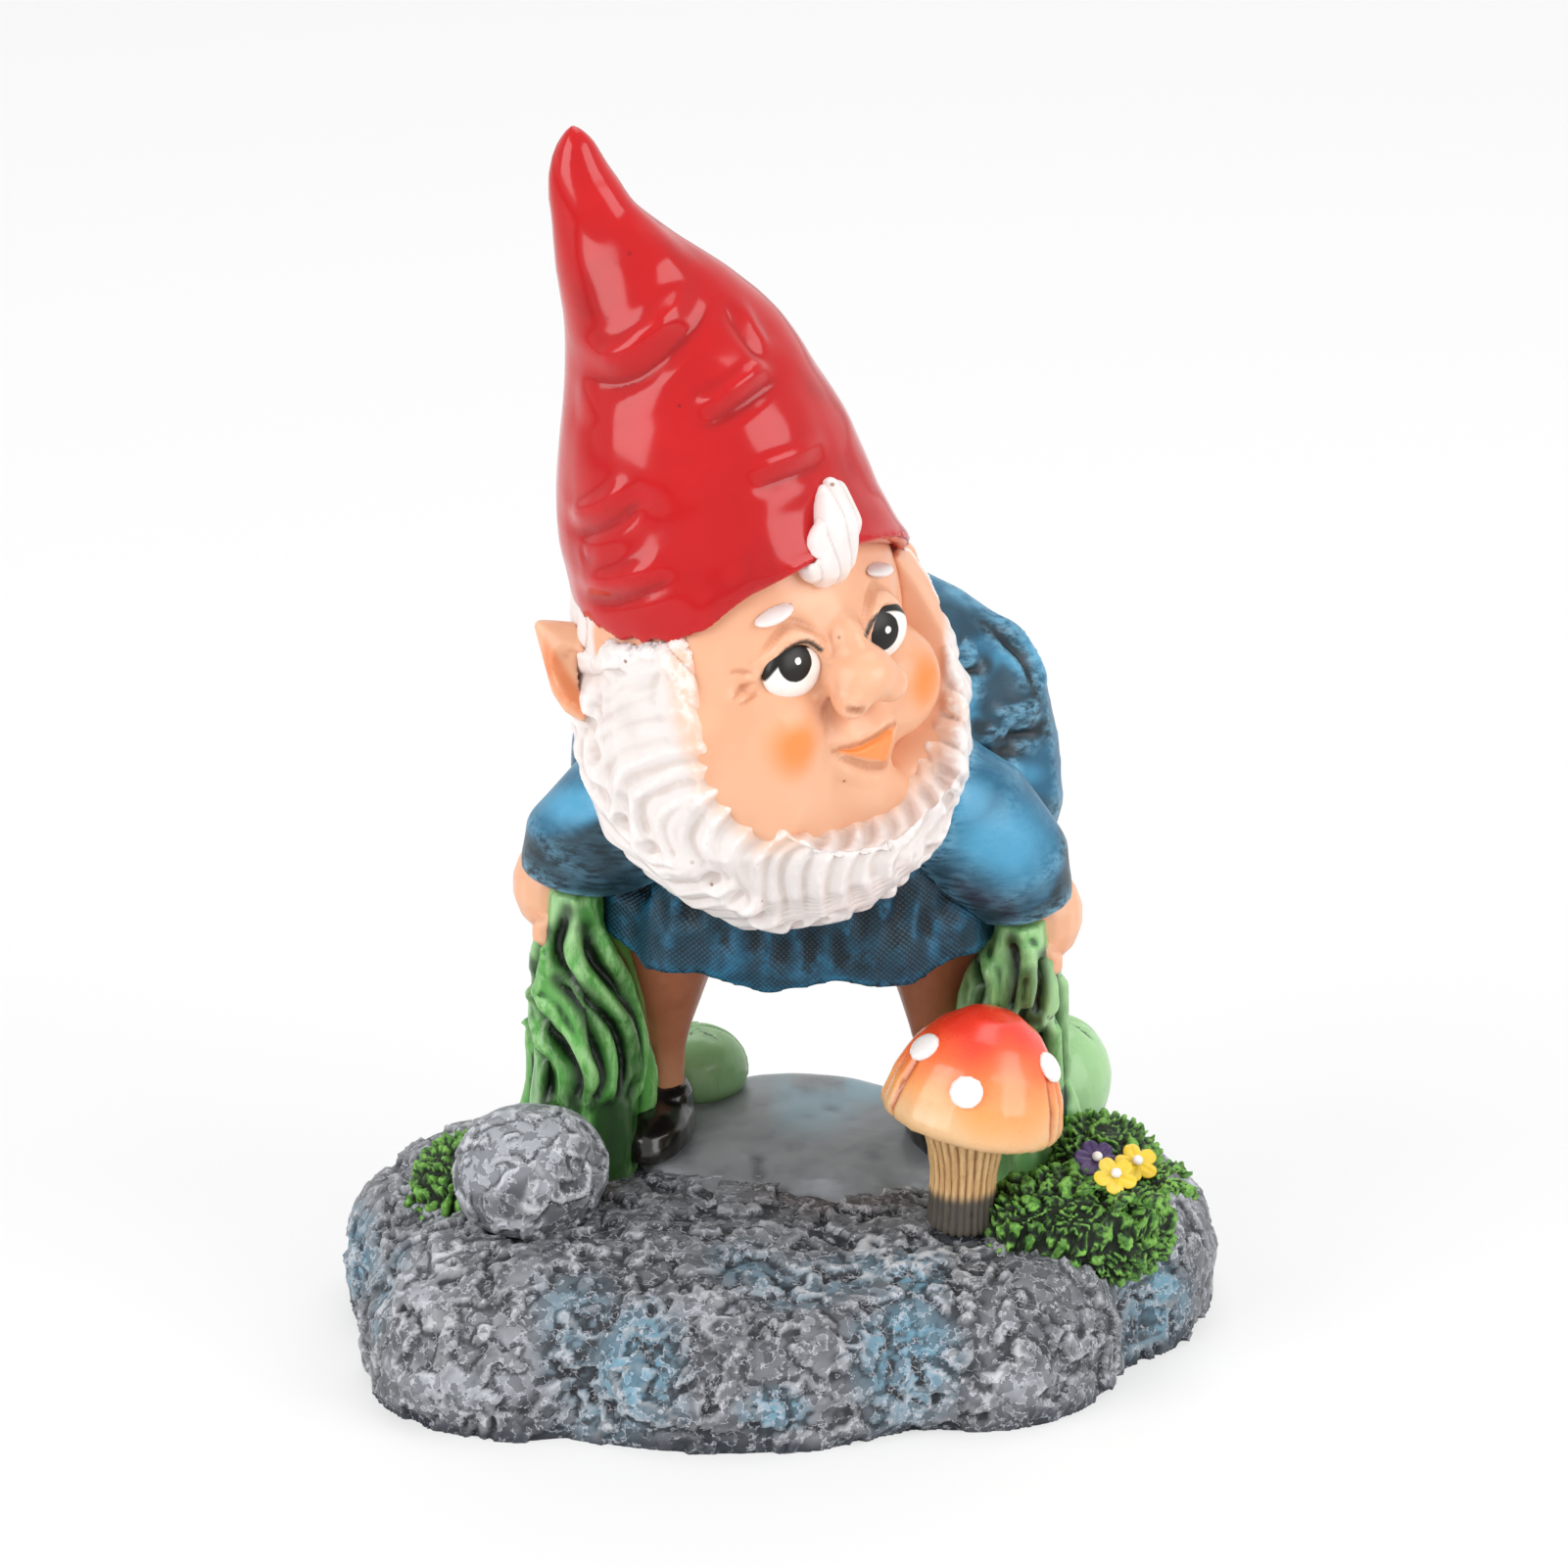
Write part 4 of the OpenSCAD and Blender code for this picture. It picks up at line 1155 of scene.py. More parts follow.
    def comb(self, clay: Clay) -> None:
        """Cuts a parting along each drawn line, finer strands between it and the next, and swells the tips."""
        cuts, lines = [], self.swayed()
        for row, (first, second) in enumerate(zip(lines, lines[1:])):
            deep = 0.5 if row < self.shallow_rows else 1.0
            for k, share in enumerate(self.strand_places):
                chance = scatter(np.array([row, k, 0]), 7)
                share += 0.12 * (chance - 0.5) * (k > 0)
                path = clay.trace([(a + (c - a) * share, b + (d - b) * share)
                                   for (a, b), (c, d) in zip(first, second)])
                width, depth = self.parting_width, (self.parting_depth, 0.0)
                if k:
                    path = path[int(len(path) * 0.3 * chance):]
                    width, depth = self.strand_width, self.strand_depth
                cuts.append((path, width[0] + width[1] * chance, -(depth[0] + depth[1] * chance) * deep))
        cuts += [(clay.trace(line), 1.3, -0.6) for line in self.nape]
        ends = zip(self.partings, self.partings[1:])
        tips = [clay.trace([tuple((np.array(a[-1]) + b[-1]) / 2)] * 2) for a, b in ends]
        for path, width, depth in cuts:
            clay.stroke(path, width, depth, taper=0.16)
            if width >= self.parting_width[0] and len(path):
                clay.dab(path[-1], *self.dent)
        for spot in (tip[0] for tip in tips if len(tip)):
            clay.dab(spot, *self.tip)
        clay.face()

    def build(self, paint: bpy.types.Material) -> None:
        """Models and dresses all the white hair."""
        clay = Clay("beard_locks", ["beard"], self.voxel, grow=0.1)
        clay.shift((0, 0, -1.4), clay.area(self.behind_ear, 20))
        drawn = clay.area([line[0] for line in self.partings] + [line[-1] for line in self.partings[::-1]], 24)
        bare = clay.area(self.bare, 10)
        clay.push((0.25 + self.strands(HEAD.inside(clay.p)) * 0.8) * (1 - drawn) * (1 - bare))
        clay.push(0.35 * drawn * (1 - bare))
        clay.push(1.0 * clay.spots(self.side_hair) * (1 - bare))
        self.comb(clay)
        clay.smooth(1)
        clay.finish(paint, "hair", peach=clay.painted(self.bare[1:-2], 4.2, 0.25) * (1 - bare), bare=bare)
        self.tufts(paint)

    def tufts(self, paint: bpy.types.Material) -> None:
        """Models the forelock and the eyebrows."""
        lock = Clay("forelock", ["hair_tuft"], self.tuft_voxel)
        q = HEAD.inside(lock.p)
        lock.push(np.abs(np.cos(q[:, 0] * 1.5 + 0.7 * np.sin(q[:, 2] * 0.6))) ** 0.8 * 0.35 - 0.2)
        lock.finish(paint, "hair", peach=(1 - soft(q[:, 2], 6.5, 10.0)) * 0.7)
        for _, name in SIDES:
            brow = Clay(name + "_brow", [name + "_eyebrow"], self.tuft_voxel)
            brow.push(-0.4)
            brow.finish(paint, "hair")


# ---------------------------------------------------------------- hat


@dataclass
class Hat:
    """The tall leaning cap with its creases.

    A fold is given by its line, width, depth and swell, and a pad by its dot, reach and height.
    The folds behind are given by turn and height about the axis.
    """

    voxel: float = 0.4
    folds: tuple[tuple[tuple[Dot, ...], float, float, float], ...] = (
        (((572, 366), (590, 380), (620, 392), (650, 386), (676, 368), (702, 343), (720, 320), (733, 294)),
         4.6, 1.15, 1.0),
        (((733, 296), (742, 318), (756, 342), (778, 366), (806, 376)), 3.4, 0.45, 0.9),
        (((704, 440), (728, 432), (752, 419), (780, 399), (806, 376)), 3.2, 0.85, 1.0),
        (((572, 532), (592, 545), (618, 538), (640, 524), (662, 503)), 3.4, 0.8, 1.0),
        (((578, 600), (598, 612), (628, 614), (662, 604), (698, 584)), 3.2, 0.8, 1.0),
        (((760, 506), (790, 494), (820, 483), (856, 468)), 3.4, 0.6, 1.0),
        (((594, 556), (597, 571), (612, 566)), 1.6, 0.35, 0.3))
    pads: tuple[tuple[Dot, float, float], ...] = (
        ((788, 448), 9.0, 0.7), ((624, 478), 9.0, 0.7), ((640, 320), 11.0, 0.6), ((752, 378), 6.0, 0.5),
        ((640, 576), 7.0, 0.4), ((600, 403), 4.0, 0.3), ((700, 300), 5.0, -0.5), ((770, 560), 8.0, 0.4))
    brim: tuple[Dot, ...] = ((560, 600), (640, 592), (730, 570), (750, 650), (700, 680), (560, 680))
    brim_drop: float = 1.9
    spine: tuple[Dot, ...] = ((603, 158), (622, 196), (650, 232), (686, 266), (716, 300))
    axis: Point = (-10.0, -3.0, 14.0)
    behind: tuple[tuple[tuple[Dot, ...], float, float], ...] = (
        (((115, 124), (150, 121), (185, 125), (215, 131)), 4.0, -0.8),
        (((140, 112), (165, 113), (190, 118)), 3.6, -0.6),
        (((170, 102), (205, 105), (241, 103)), 3.6, -0.7))

    def build(self, paint: bpy.types.Material) -> None:
        """Models and dresses the hat."""
        clay = Clay("hat_felt", ["hat"], self.voxel, relax=4)
        clay.smooth(12)
        clay.shift((0, -self.brim_drop, 0), clay.area(self.brim, 60))
        clay.smooth(12, clay.area(self.brim, 40))
        for dot, reach, height in self.pads:
            clay.dab(clay.trace([dot, dot])[0], reach, height)
        clay.face()
        clay.line(self.spine, 4.5, 0.55, taper=0.35)
        for dots, width, depth, swell in self.folds:
            clay.score([dots], width, depth, swell, 0.35)
        for dots, width, depth in self.behind:
            clay.stroke(clay.wrap(dots, self.axis), width, depth, Tool.FOLD, swell=0.6)
        clay.face()
        clay.push(clay.ripple(12, 21) * 0.4)
        clay.smooth(2)
        clay.finish(paint, "hat")


# ---------------------------------------------------------------- clothes


@dataclass
class Clothes:
    """The blue tunic and the green trousers that hang from the fists.

    A pleat is given by its dot, its fall on the sheet and its depth in millimetres.
    """

    voxel: float = 0.42
    seat_voxel: float = 0.4
    back_voxel: float = 0.45
    leg_waves: int = 7
    cuff_waves: int = 8
    seat_waves: int = 22
    skirt_waves: int = 19
    body: Dot = (2.2, 12.0)
    girth: float = 23.0
    waist: Dot = (2.2, 7.0)
    seat: Dot = (2.2, 8.0)
    leg: Dot = (1.9, 8.0)
    stance: float = 24.8
    foot: tuple[float, float] = (19.5, 1.5)
    # heights over which the cuffs darken with painted shade towards the ground
    damp: tuple[float, float] = (18, 22)
    left_folds: tuple[tuple[Dot, ...], ...] = (
        ((580, 930), (568, 967), (583, 1000), (610, 1030), (628, 1053), (637, 1087), (632, 1128)),
        ((560, 950), (550, 980), (547, 1013), (557, 1047), (577, 1070), (590, 1098), (588, 1130)),
        ((545, 985), (541, 1030), (550, 1072), (560, 1100), (556, 1128)),
        ((596, 948), (610, 985), (634, 1018), (646, 1058), (648, 1100), (640, 1132)),
        ((570, 1000), (590, 1030), (606, 1060), (612, 1095), (606, 1130)))
    right_folds: tuple[tuple[Dot, ...], ...] = (
        ((1034, 960), (1035, 1000), (1030, 1036)), ((1066, 975), (1062, 1006), (1056, 1040)),
        ((996, 970), (1000, 1005), (994, 1036)), ((1078, 1000), (1082, 1050), (1086, 1120)),
        ((1050, 990), (1046, 1030), (1050, 1060)), ((1064, 1050), (1070, 1085), (1072, 1125)))
    shoe_shade: tuple[Dot, ...] = ((606, 1126), (640, 1112), (654, 1140), (640, 1220), (600, 1220))
    pleats: tuple[tuple[float, float, float, float], ...] = (
        (640, 905, 26, 0.5), (656, 908, 18, 0.9), (676, 930, 34, 0.4), (704, 930, 24, 0.9), (738, 955, 34, 0.5),
        (766, 960, 40, 0.6), (800, 975, 30, 0.5), (828, 975, 44, 0.7), (858, 972, 36, 0.5), (884, 948, 48, 1.0),
        (904, 955, 36, 0.5), (921, 930, 52, 1.1), (945, 945, 30, 0.5), (968, 925, 36, 0.6))
    pleat_run: tuple[Dot, ...] = ((7, -0.8), (1, -0.3), (-1, 0.3), (-5, 0.8))
    back_folds: tuple[tuple[Dot, ...], ...] = (
        ((966, 674), (978, 684), (990, 685), (1002, 681)),
        ((990, 762), (1008, 769), (1024, 768), (1038, 763)),
        ((993, 775), (1005, 790), (1022, 803), (1040, 812)),
        ((1003, 640), (1024, 652), (1046, 678), (1052, 712)),
        ((996, 742), (1020, 750), (1046, 748), (1064, 742)))
    back_shade: tuple[tuple[Dot, ...], ...] = (
        ((944, 600), (1012, 630), (1004, 648), (975, 662), (950, 664)),
        ((995, 700), (1024, 676), (1058, 700), (1066, 742), (1000, 744)),
        ((993, 764), (1036, 766), (1004, 800), (990, 790)),
        ((1010, 800), (1045, 812), (1085, 816), (1090, 850), (1060, 850)))
    back_lit: tuple[Oval, ...] = (
        (985, 705, 36, 26), (1042, 672, 30, 26), (1015, 735, 48, 14), (1030, 790, 40, 16), (962, 640, 26, 22))
    sleeve_shade: tuple[tuple[Dot, ...], ...] = (
        ((516, 838), (546, 854), (582, 852), (606, 840), (632, 824), (664, 862), (650, 940), (560, 935),
         (522, 925)),
        ((1081, 846), (1086, 884), (1070, 916), (1040, 936), (1000, 934), (964, 914), (950, 950), (1040, 978),
         (1110, 940), (1116, 850)))
    sleeve_feather: tuple[float, float] = (16, 10)
    sleeve_lit: tuple[tuple[Oval, ...], ...] = (
        ((590, 822, 48, 24),), ((1020, 862, 58, 52), (990, 820, 30, 30)))

    def trousers(self, paint: bpy.types.Material) -> None:
        """Models both trouser legs, their cuffs and the seat."""
        for (side, name), folds in zip(SIDES, (self.left_folds, self.right_folds)):
            self.trouser_leg(side, name, folds, paint)
            self.cuff(name, paint)
        seat = Clay("seat_cloth", ["trouser_seat"], self.seat_voxel)
        hang = np.cos(self.seat_waves * seat.around(*self.seat) + 1.2 * np.sin(seat.p[:, 2] * 0.4))
        seat.push(hang * 0.45 + seat.ripple(5, 6) * 0.3)
        seat.finish(paint, "trousers", dark=soft(-hang, 0.55, 1.0))

    def trouser_leg(self, side: int, name: str, folds: Sequence[Sequence[Dot]],
                    paint: bpy.types.Material) -> None:
        """Models a trouser leg that hangs in folds from the fist.

        Args:
            side: -1 for the left leg and 1 for the right one.
            name: The side's name.
            folds: Lines of its folds on the sheet.
            paint: Its paint.
        """
        clay = Clay(name + "_leg_cloth", [name + "_trouser_leg"], self.voxel)
        a, z = clay.around(self.leg[0] + side * self.stance, self.leg[1]), clay.p[:, 2]
        wave = np.cos(self.leg_waves * a + 1.1 * np.sin(z * 0.33 + side) + clay.ripple(10, 4) * 0.8)
        clay.push(wave * 0.7 * (1 - 0.9 * soft(np.cos(a), 0.1, 0.6)) * soft(z, 18, 24))
        dark = clay.score(folds, 2.7, 1.5, 0.55)
        clay.push(clay.ripple(3, 5) * 0.06)
        # Painted shadow of the left shoe on the cloth beside it.
        foot = clay.area(self.shoe_shade, 12) * (side < 0)
        clay.sink(*self.foot)
        # Pale streaks are brushed paint; keeping them to the leg's outer side, which faces a lamp, makes them a
        # painted highlight. The right leg is paler all over.
        streak = soft(clay.ripple(2.2, 8, squeeze=(1, 1, 0.25)), -0.1, 0.6)
        streak *= soft(clay.n[:, 0] * side + 0.3, 0, 0.6)
        pale = streak * 0.7 if side < 0 else np.maximum(streak, 0.4)
        # dark: the folds' bottoms, and the shoe's painted shadow on the left leg.
        clay.finish(paint, "trousers", pale=pale, dark=most(dark, foot))

    def cuff(self, name: str, paint: bpy.types.Material) -> None:
        """Models the slack cuff behind a shoe."""
        clay = Clay(name + "_cuff_cloth", [name + "_trouser_cuff"], self.voxel, 0.2, 6)
        q = clay.p - clay.p.mean(axis=0)
        turn = self.cuff_waves * np.arctan2(q[:, 0], q[:, 1])
        crease = np.cos(turn + 0.35 * q[:, 2] + clay.ripple(8, 32, 1) * 1.4)
        clay.push(clay.ripple(9, 31) * 0.3 - soft(crease, 0.35, 1.0) * 0.9 * soft(q[:, 1], -3, 1))
        clay.sink(*self.foot)
        # Painted shade: the cuff darkens towards the ground.
        dark = 1 - soft(clay.p[:, 2], *self.damp)
        clay.finish(paint, "trousers", pale=np.ones(len(clay.p)), dark=dark)

    def skirt(self, knit: bpy.types.Material) -> None:
        """Models the tunic's skirt with its pleats."""
        clay = Clay("tunic_skirt_cloth", ["tunic_skirt"], self.voxel)
        dark = np.zeros(len(clay.p))
        for u, v, fall, depth in self.pleats:
            path = clay.trace([(u + across, v + fall * down) for across, down in self.pleat_run])
            clay.stroke(path, 2.2, -depth, taper=0.45)
            # The pleats' bottoms are kept for painted shade.
            dark = most(dark, clay.brush(path, 1.5 + depth * 0.5, 0.0) * depth)
        dark *= soft(clay.ripple(2.6, 14), -0.7, 0.1)
        a = clay.around(*self.waist)
        behind = soft(-np.cos(a), -0.3, 0.3)
        wave = np.cos(self.skirt_waves * a + clay.ripple(9, 12, 1))
        clay.push(wave * 0.5 * behind + clay.ripple(7, 13, 3) * 0.45)
        # Painted shade: the skirt darkens where it faces down and along its pleats.
        under = most(soft(-clay.n[:, 2], 0.0, 0.7), np.clip(dark, 0, 1))
        clay.finish(knit, "tunic", under=under, around=clay.around(*self.body) * self.girth, up=clay.p[:, 2])

    def tunic(self, knit: bpy.types.Material, cloth: bpy.types.Material) -> None:
        """Models the skirt with the bent back, and both sleeves."""
        self.skirt(knit)
        hump = Clay("tunic_back_cloth", ["tunic_back"], self.back_voxel)
        dark = hump.score(self.back_folds, 3.4, 1.1, 0.7, 0.35)
        hump.push(hump.ripple(15, 42) * 0.8)
        crumple = 1 - soft(np.abs(hump.ripple(17, 41)), 0, 0.3)
        hump.push(-0.5 * crumple * (1 - soft(hump.n[:, 1], 0.4, -0.1)))
        hump.smooth(2)
        # Painted shade on the listed patches, the folds' bottoms and what faces down; painted highlight on the
        # lit spots.
        shade = most(*(hump.area(patch, 16) for patch in self.back_shade))
        under = most(soft(-hump.n[:, 2], 0.0, 0.7) * 0.8, shade * 0.75, dark)
        hump.finish(cloth, "tunic", under=under, lit=hump.spots(self.back_lit) * (1 - under))
        for k, (side, name) in enumerate(SIDES):
            clay = Clay(name + "_sleeve_cloth", [name + "_sleeve"], self.voxel, relax=4)
            clay.smooth(8)
            clay.push(clay.ripple(9, 50 + side) * 0.3)
            # Painted shade beneath each sleeve and in its listed patches, and a painted highlight on its lit
            # spots.
            shade = clay.area(self.sleeve_shade[k], self.sleeve_feather[k])
            under = most(soft(-clay.n[:, 2], -0.05, 0.6), shade)
            clay.finish(cloth, "tunic", under=under, lit=clay.spots(self.sleeve_lit[k]) * (1 - under))


@dataclass
class Limbs:
    """The fists, the bare legs and the shoes."""

    voxel: float = 0.28
    leg_voxel: float = 0.35
    shoe_voxel: float = 0.3
    ridges: int = 9
    sock: tuple[float, float] = (26, 31)
    middle: float = 2.2
    apart: float = 16.0
    front: float = 13.0

    def build(self, skin: bpy.types.Material, legs: bpy.types.Material, shoes: bpy.types.Material) -> None:
        """Models and dresses the limbs."""
        for side, name in SIDES:
            hand = Clay(name + "_fist", [name + "_hand"], self.voxel, grow=0.1)
            # Painted shade: the fist is painted orange where it faces down.
            hand.finish(skin, "skin", inner=soft(-hand.n[:, 2], 0.1, 0.8) * 0.5)
            leg = Clay(name + "_bare_leg", [name + "_leg"], self.leg_voxel, relax=5)
            turn = leg.around(self.middle + self.apart * side, self.front)
            ridges = np.cos(self.ridges * turn + 0.8 * np.sin(leg.p[:, 2] * 0.3))
            ridges *= soft(side * np.sin(turn), 0.1, 0.8)
            leg.push(leg.ripple(8, 60) * 0.25 + ridges * 0.22)
            leg.finish(legs, "leg_skin", ankle=1 - soft(leg.p[:, 2] + leg.ripple(4, 62) * 1.5, *self.sock))
            shoe = Clay(name + "_shoe_leather", [name + "_shoe"], self.shoe_voxel, relax=4)
            shoe.push(shoe.ripple(4, 61) * 0.2)
            shoe.finish(shoes, "shoe")


# ---------------------------------------------------------------- base


@dataclass
class Ground:
    """The pitted rock, the smooth slab and the loose boulder.

    A valley is given by its line, width and depth, and pits by their width and depth.
    """

    voxel: float = 0.435
    boulder_voxel: float = 0.35
    slab_voxel: float = 0.5
    rock_pits: tuple[float, float] = (2.7, 0.6)
    boulder_pits: tuple[float, float] = (2.6, 0.35)
    valleys: tuple[tuple[tuple[Dot, ...], float, float], ...] = (
        (((585, 1325), (594, 1370), (602, 1420), (612, 1470)), 6.5, 1.5),
        (((655, 1345), (668, 1390), (676, 1440)), 4.5, 0.8),
        (((930, 1335), (926, 1372), (922, 1410), (915, 1450)), 6.0, 1.4),
        (((398, 1285), (388, 1310), (382, 1345)), 4.5, 1.2),
        (((1160, 1300), (1168, 1340), (1166, 1380)), 5.5, 1.2),
        (((760, 1290), (800, 1310), (850, 1305), (890, 1285)), 6.0, 0.9))
    blue: tuple[Oval, ...] = (
        (650, 1395, 56, 72), (925, 1385, 62, 74), (1182, 1325, 36, 56), (362, 1280, 28, 56),
        (790, 1440, 40, 26), (935, 1300, 40, 30))
    brown: tuple[Oval, ...] = ((860, 1220, 110, 26), (620, 1205, 16, 30))
    # pale patches of the rock's paint
    chalk: tuple[Oval, ...] = (
        (470, 1405, 84, 54), (430, 1310, 52, 40), (1050, 1380, 64, 66), (540, 1300, 60, 26),
        (740, 1330, 70, 24))
    cool: tuple[Oval, ...] = ((830, 1125, 60, 40), (880, 1110, 40, 24))
    slab_front: tuple[float, float] = (1150, 1225)
    slab_drop: float = 1.5

    def pit(self, clay: Clay, size: float, depth: float, seed: int) -> np.ndarray:
        """Sinks flat uneven pits that run into each other.

        Args:
            clay: The stone.
            size: Width of the pits in millimetres.
            depth: How deep they go.
            seed: Chooses the pattern.
        Returns:
            The mask of the rims round them.
        """
        bent = clay.p + clay.warp(size * 1.1, seed) * size * 0.4
        height = ripple(bent, size, seed + 3, 2) + 0.2 * clay.ripple(size * 4, seed + 5)
        pits, rims = soft(-height, -0.02, 0.16), np.exp(-((height - 0.09) / 0.1) ** 2)
        clay.push((0.35 - pits + 0.3 * rims) * depth + clay.ripple(size * 2.4, seed + 8) * depth * 0.5)
        return rims

    def base(self, paint: bpy.types.Material) -> None:
        """Models and dresses the rock that carries the figure."""
        clay = Clay("rock_base", ["base_rock"], self.voxel, 0.1, 2)
        foot, rise = clay.p[:, 2] < 0.6, soft(clay.p[:, 2], 0, 3)
        valleys = np.zeros(len(clay.p))
        for dots, width, depth in self.valleys:
            path = clay.trace(dots)
            valleys = most(valleys, clay.brush(path, width, 0.1))
            clay.stroke(path, width, -depth)
        clay.face()
        clay.push(clay.ripple(15, 70) * 0.9 * rise)
        ridge = self.pit(clay, *self.rock_pits, 71)
        clay.push(clay.ripple(1.3, 75) * 0.1)
        clay.p[foot, 2] = 0
        clay.p[:, 2] = np.maximum(clay.p[:, 2], 0)
        z, behind = clay.p[:, 2], soft(clay.p[:, 1], 0, 12)
        blue = most(clay.spots(self.blue), soft(clay.ripple(13, 76), 0.35, 0.9) * 0.6 * behind, valleys * 0.5)
        patchy = soft(clay.ripple(9, 77, 3) + 0.3 * clay.n[:, 2], -0.2, 0.6)
        chalk = most(clay.spots(self.chalk) * soft(clay.ripple(4, 79, 3), -0.5, 0.3),
                     soft(clay.ripple(8, 79, 3), 0.45, 0.9) * behind)
        brown = clay.spots(self.brown) * soft(z, 12, 16)
        clay.finish(paint, "rock", blue=blue * (1 - 0.7 * ridge), brown=brown,
                    chalk=chalk * (1 - soft(z, 14, 18)), ridge=ridge * (0.35 + 0.65 * patchy),
                    edge=1 - soft(z + clay.ripple(5, 78), 0.2, 2.6))

    def build(self, rock: bpy.types.Material, slab: bpy.types.Material) -> None:
        """Models and dresses the stones."""
        self.base(rock)
        ball = Clay("boulder_stone", ["boulder"], self.boulder_voxel, grow=0.1)
        ball.push(ball.ripple(9, 80) * 0.4)
        ridge = self.pit(ball, *self.boulder_pits, 81)
        # Painted light: the boulder is paler where it faces up and towards the left lamp.
        lit = ball.n[:, 2] - 0.5 * ball.n[:, 0]
        ball.finish(rock, "rock", ridge=ridge, chalk=soft(lit + ball.ripple(3, 82) * 0.9, -0.3, 0.5))
        step = Clay("standing_stone", ["standing_slab"], self.slab_voxel, grow=0.1)
        step.smooth(6)
        step.push(step.ripple(11, 85, 3) * 0.35)
        step.p[:, 2] -= self.slab_drop * soft(SHEET.flat(step.p)[:, 1], *self.slab_front)
        step.sink(19.0, 2.0, 1.0)
        dirt = soft(step.ripple(12, 86), 0.0, 0.8) * soft(-step.p[:, 1], -4, 4)
        cool = step.spots(self.cool) * soft(step.ripple(7, 87, 3, (1.6, 0.5, 1)), -0.6, 0.5)
        step.finish(slab, "slab", dirt=dirt, cool=cool)


@dataclass
class Plants:
    """Moss cushions, leaves, flowers and the mushroom.

    A cushion is given by its solid, its slot and the height of its leaves.
    """

    moss_voxel: float = 0.3
    cap_voxel: float = 0.35
    spot_voxel: float = 0.22
    cushions: tuple[tuple[str, str, float], ...] = (
        ("left_moss", "moss", 1.2), ("right_moss", "moss", 1.2), ("right_leaves", "leaf", 0.4))
    flowers: tuple[tuple[str, Point], ...] = (
        ("purple_flower", (36.2, -5.5, 23.6)), ("yellow_flowers", (38.2, -10.0, 23.5)),
        ("yellow_flowers", (40.8, -6.6, 23.6)))
    petal_counts: dict[str, int] = field(default_factory=lambda: {"purple_flower": 6, "yellow_flowers": 5})
    petal_slots: dict[str, str] = field(default_factory=lambda: {
        "purple_flower": "purple_petal", "yellow_flowers": "yellow_petal", "flower_centres": "white_paint"})
    petal_reach: float = 2.55
    bead: float = 0.62
    bead_height: float = 1.15
    stem: Dot = (20.6, -9.0)
    cap: Point = (21.6, -9.0, 30.5)
    cap_height: float = 13.5
    cap_lean: Point = (-4, 12, 0)
    flower_lean: Point = (34, 10, 0)
    stem_ribs: int = 13
    # heights over which the stem is painted darker towards its foot
    soot: tuple[float, float] = (21.2, 22.8)
    cap_grooves: tuple[float, ...] = (10, 22, 165, 185, 205, 330, 345, 60, 110)

    def moss(self, paint: bpy.types.Material) -> None:
        """Models the moss as crowded small leaves."""
        for name, slot, height in self.cushions:
            clay = Clay(name + "_cushion", [name], self.moss_voxel, 0.2, 2)
            warp = clay.warp(2.4, 90)
            near, far = cells((clay.p + warp * 0.9) * (1, 1, 1.7), 1.9, 93)
            leafy = soft(far - near, 0.0, 0.5)
            clay.push((leafy - 0.4) * height)
            near, far = cells((clay.p + warp * 0.6) * (1, 1, 1.4), 0.85, 95)
            clay.push((soft(far - near, 0.0, 0.5) - 0.5) * 0.3)
            clay.sink(19.5, 1.8)
            clay.finish(paint, slot, pit=1 - leafy)

    def petals(self, paints: dict[str, bpy.types.Material]) -> None:
        """Models each flower from one petal that is copied round."""
        turn = leaning(self.flower_lean)
        parts: dict[str, list[bpy.types.Object]] = {name: [] for name in self.petal_slots}
        for k, (name, at) in enumerate(self.flowers):
            count = self.petal_counts[name]
            for i in range(count):
                parts[name].append(self.petal(turn, at, math.tau * i / count + k, self.petal_reach))
            bpy.ops.object.select_all(action="DESELECT")
            bpy.ops.mesh.primitive_ico_sphere_add(subdivisions=3, radius=self.bead * MM)
            bead = bpy.context.object
            for v in bead.data.vertices:
                spot = Vector((v.co.x, v.co.y, v.co.z * 0.8)) + Vector((0, 0, self.bead_height)) * MM
                v.co = turn @ spot + Vector(at) * MM
            parts["flower_centres"].append(bead)
        for name, made in parts.items():
            pick(*made)
            if len(made) > 1:
                bpy.ops.object.join()
            made[0].name = name + "_modelled"
            made[0].data.name = made[0].name
            settle(made[0], paints[name], self.petal_slots[name], name)

    def petal(self, turn: Matrix, at: Point, angle: float, reach: float) -> bpy.types.Object:
        """Models one cupped petal with a groove down its middle."""
        bpy.ops.object.select_all(action="DESELECT")
        bpy.ops.mesh.primitive_uv_sphere_add(segments=20, ring_count=14, radius=1)
        leaf = bpy.context.object
        c, s = math.cos(angle), math.sin(angle)
        for v in leaf.data.vertices:
            x, y, z = v.co
            y *= 0.95 + 0.25 * x
            z = z * 0.3 + 0.22 * x * x - 0.16 * math.exp(-(y / 0.22) ** 2)
            x, y, z = (x * 0.5 + 0.52) * reach, y * 0.42 * reach, z * 1.15 + 0.42
            spot = Vector((x * c - y * s, x * s + y * c, z))
            v.co = (turn @ spot + Vector(at)) * MM
        return leaf

    def mushroom(self, cap_paint: bpy.types.Material, stem_paint: bpy.types.Material,
                 white: bpy.types.Material) -> None:
        """Models the stem with its ribs, the grooved cap and the spots."""
        stem = Clay("mushroom_foot", ["mushroom_stem"], self.moss_voxel, grow=0.1)
        ribs = self.stem_ribs * stem.around(*self.stem) + stem.ripple(6, 97, 1)
        stem.push(np.abs(np.cos(ribs)) ** 0.7 * 0.5 - 0.3)
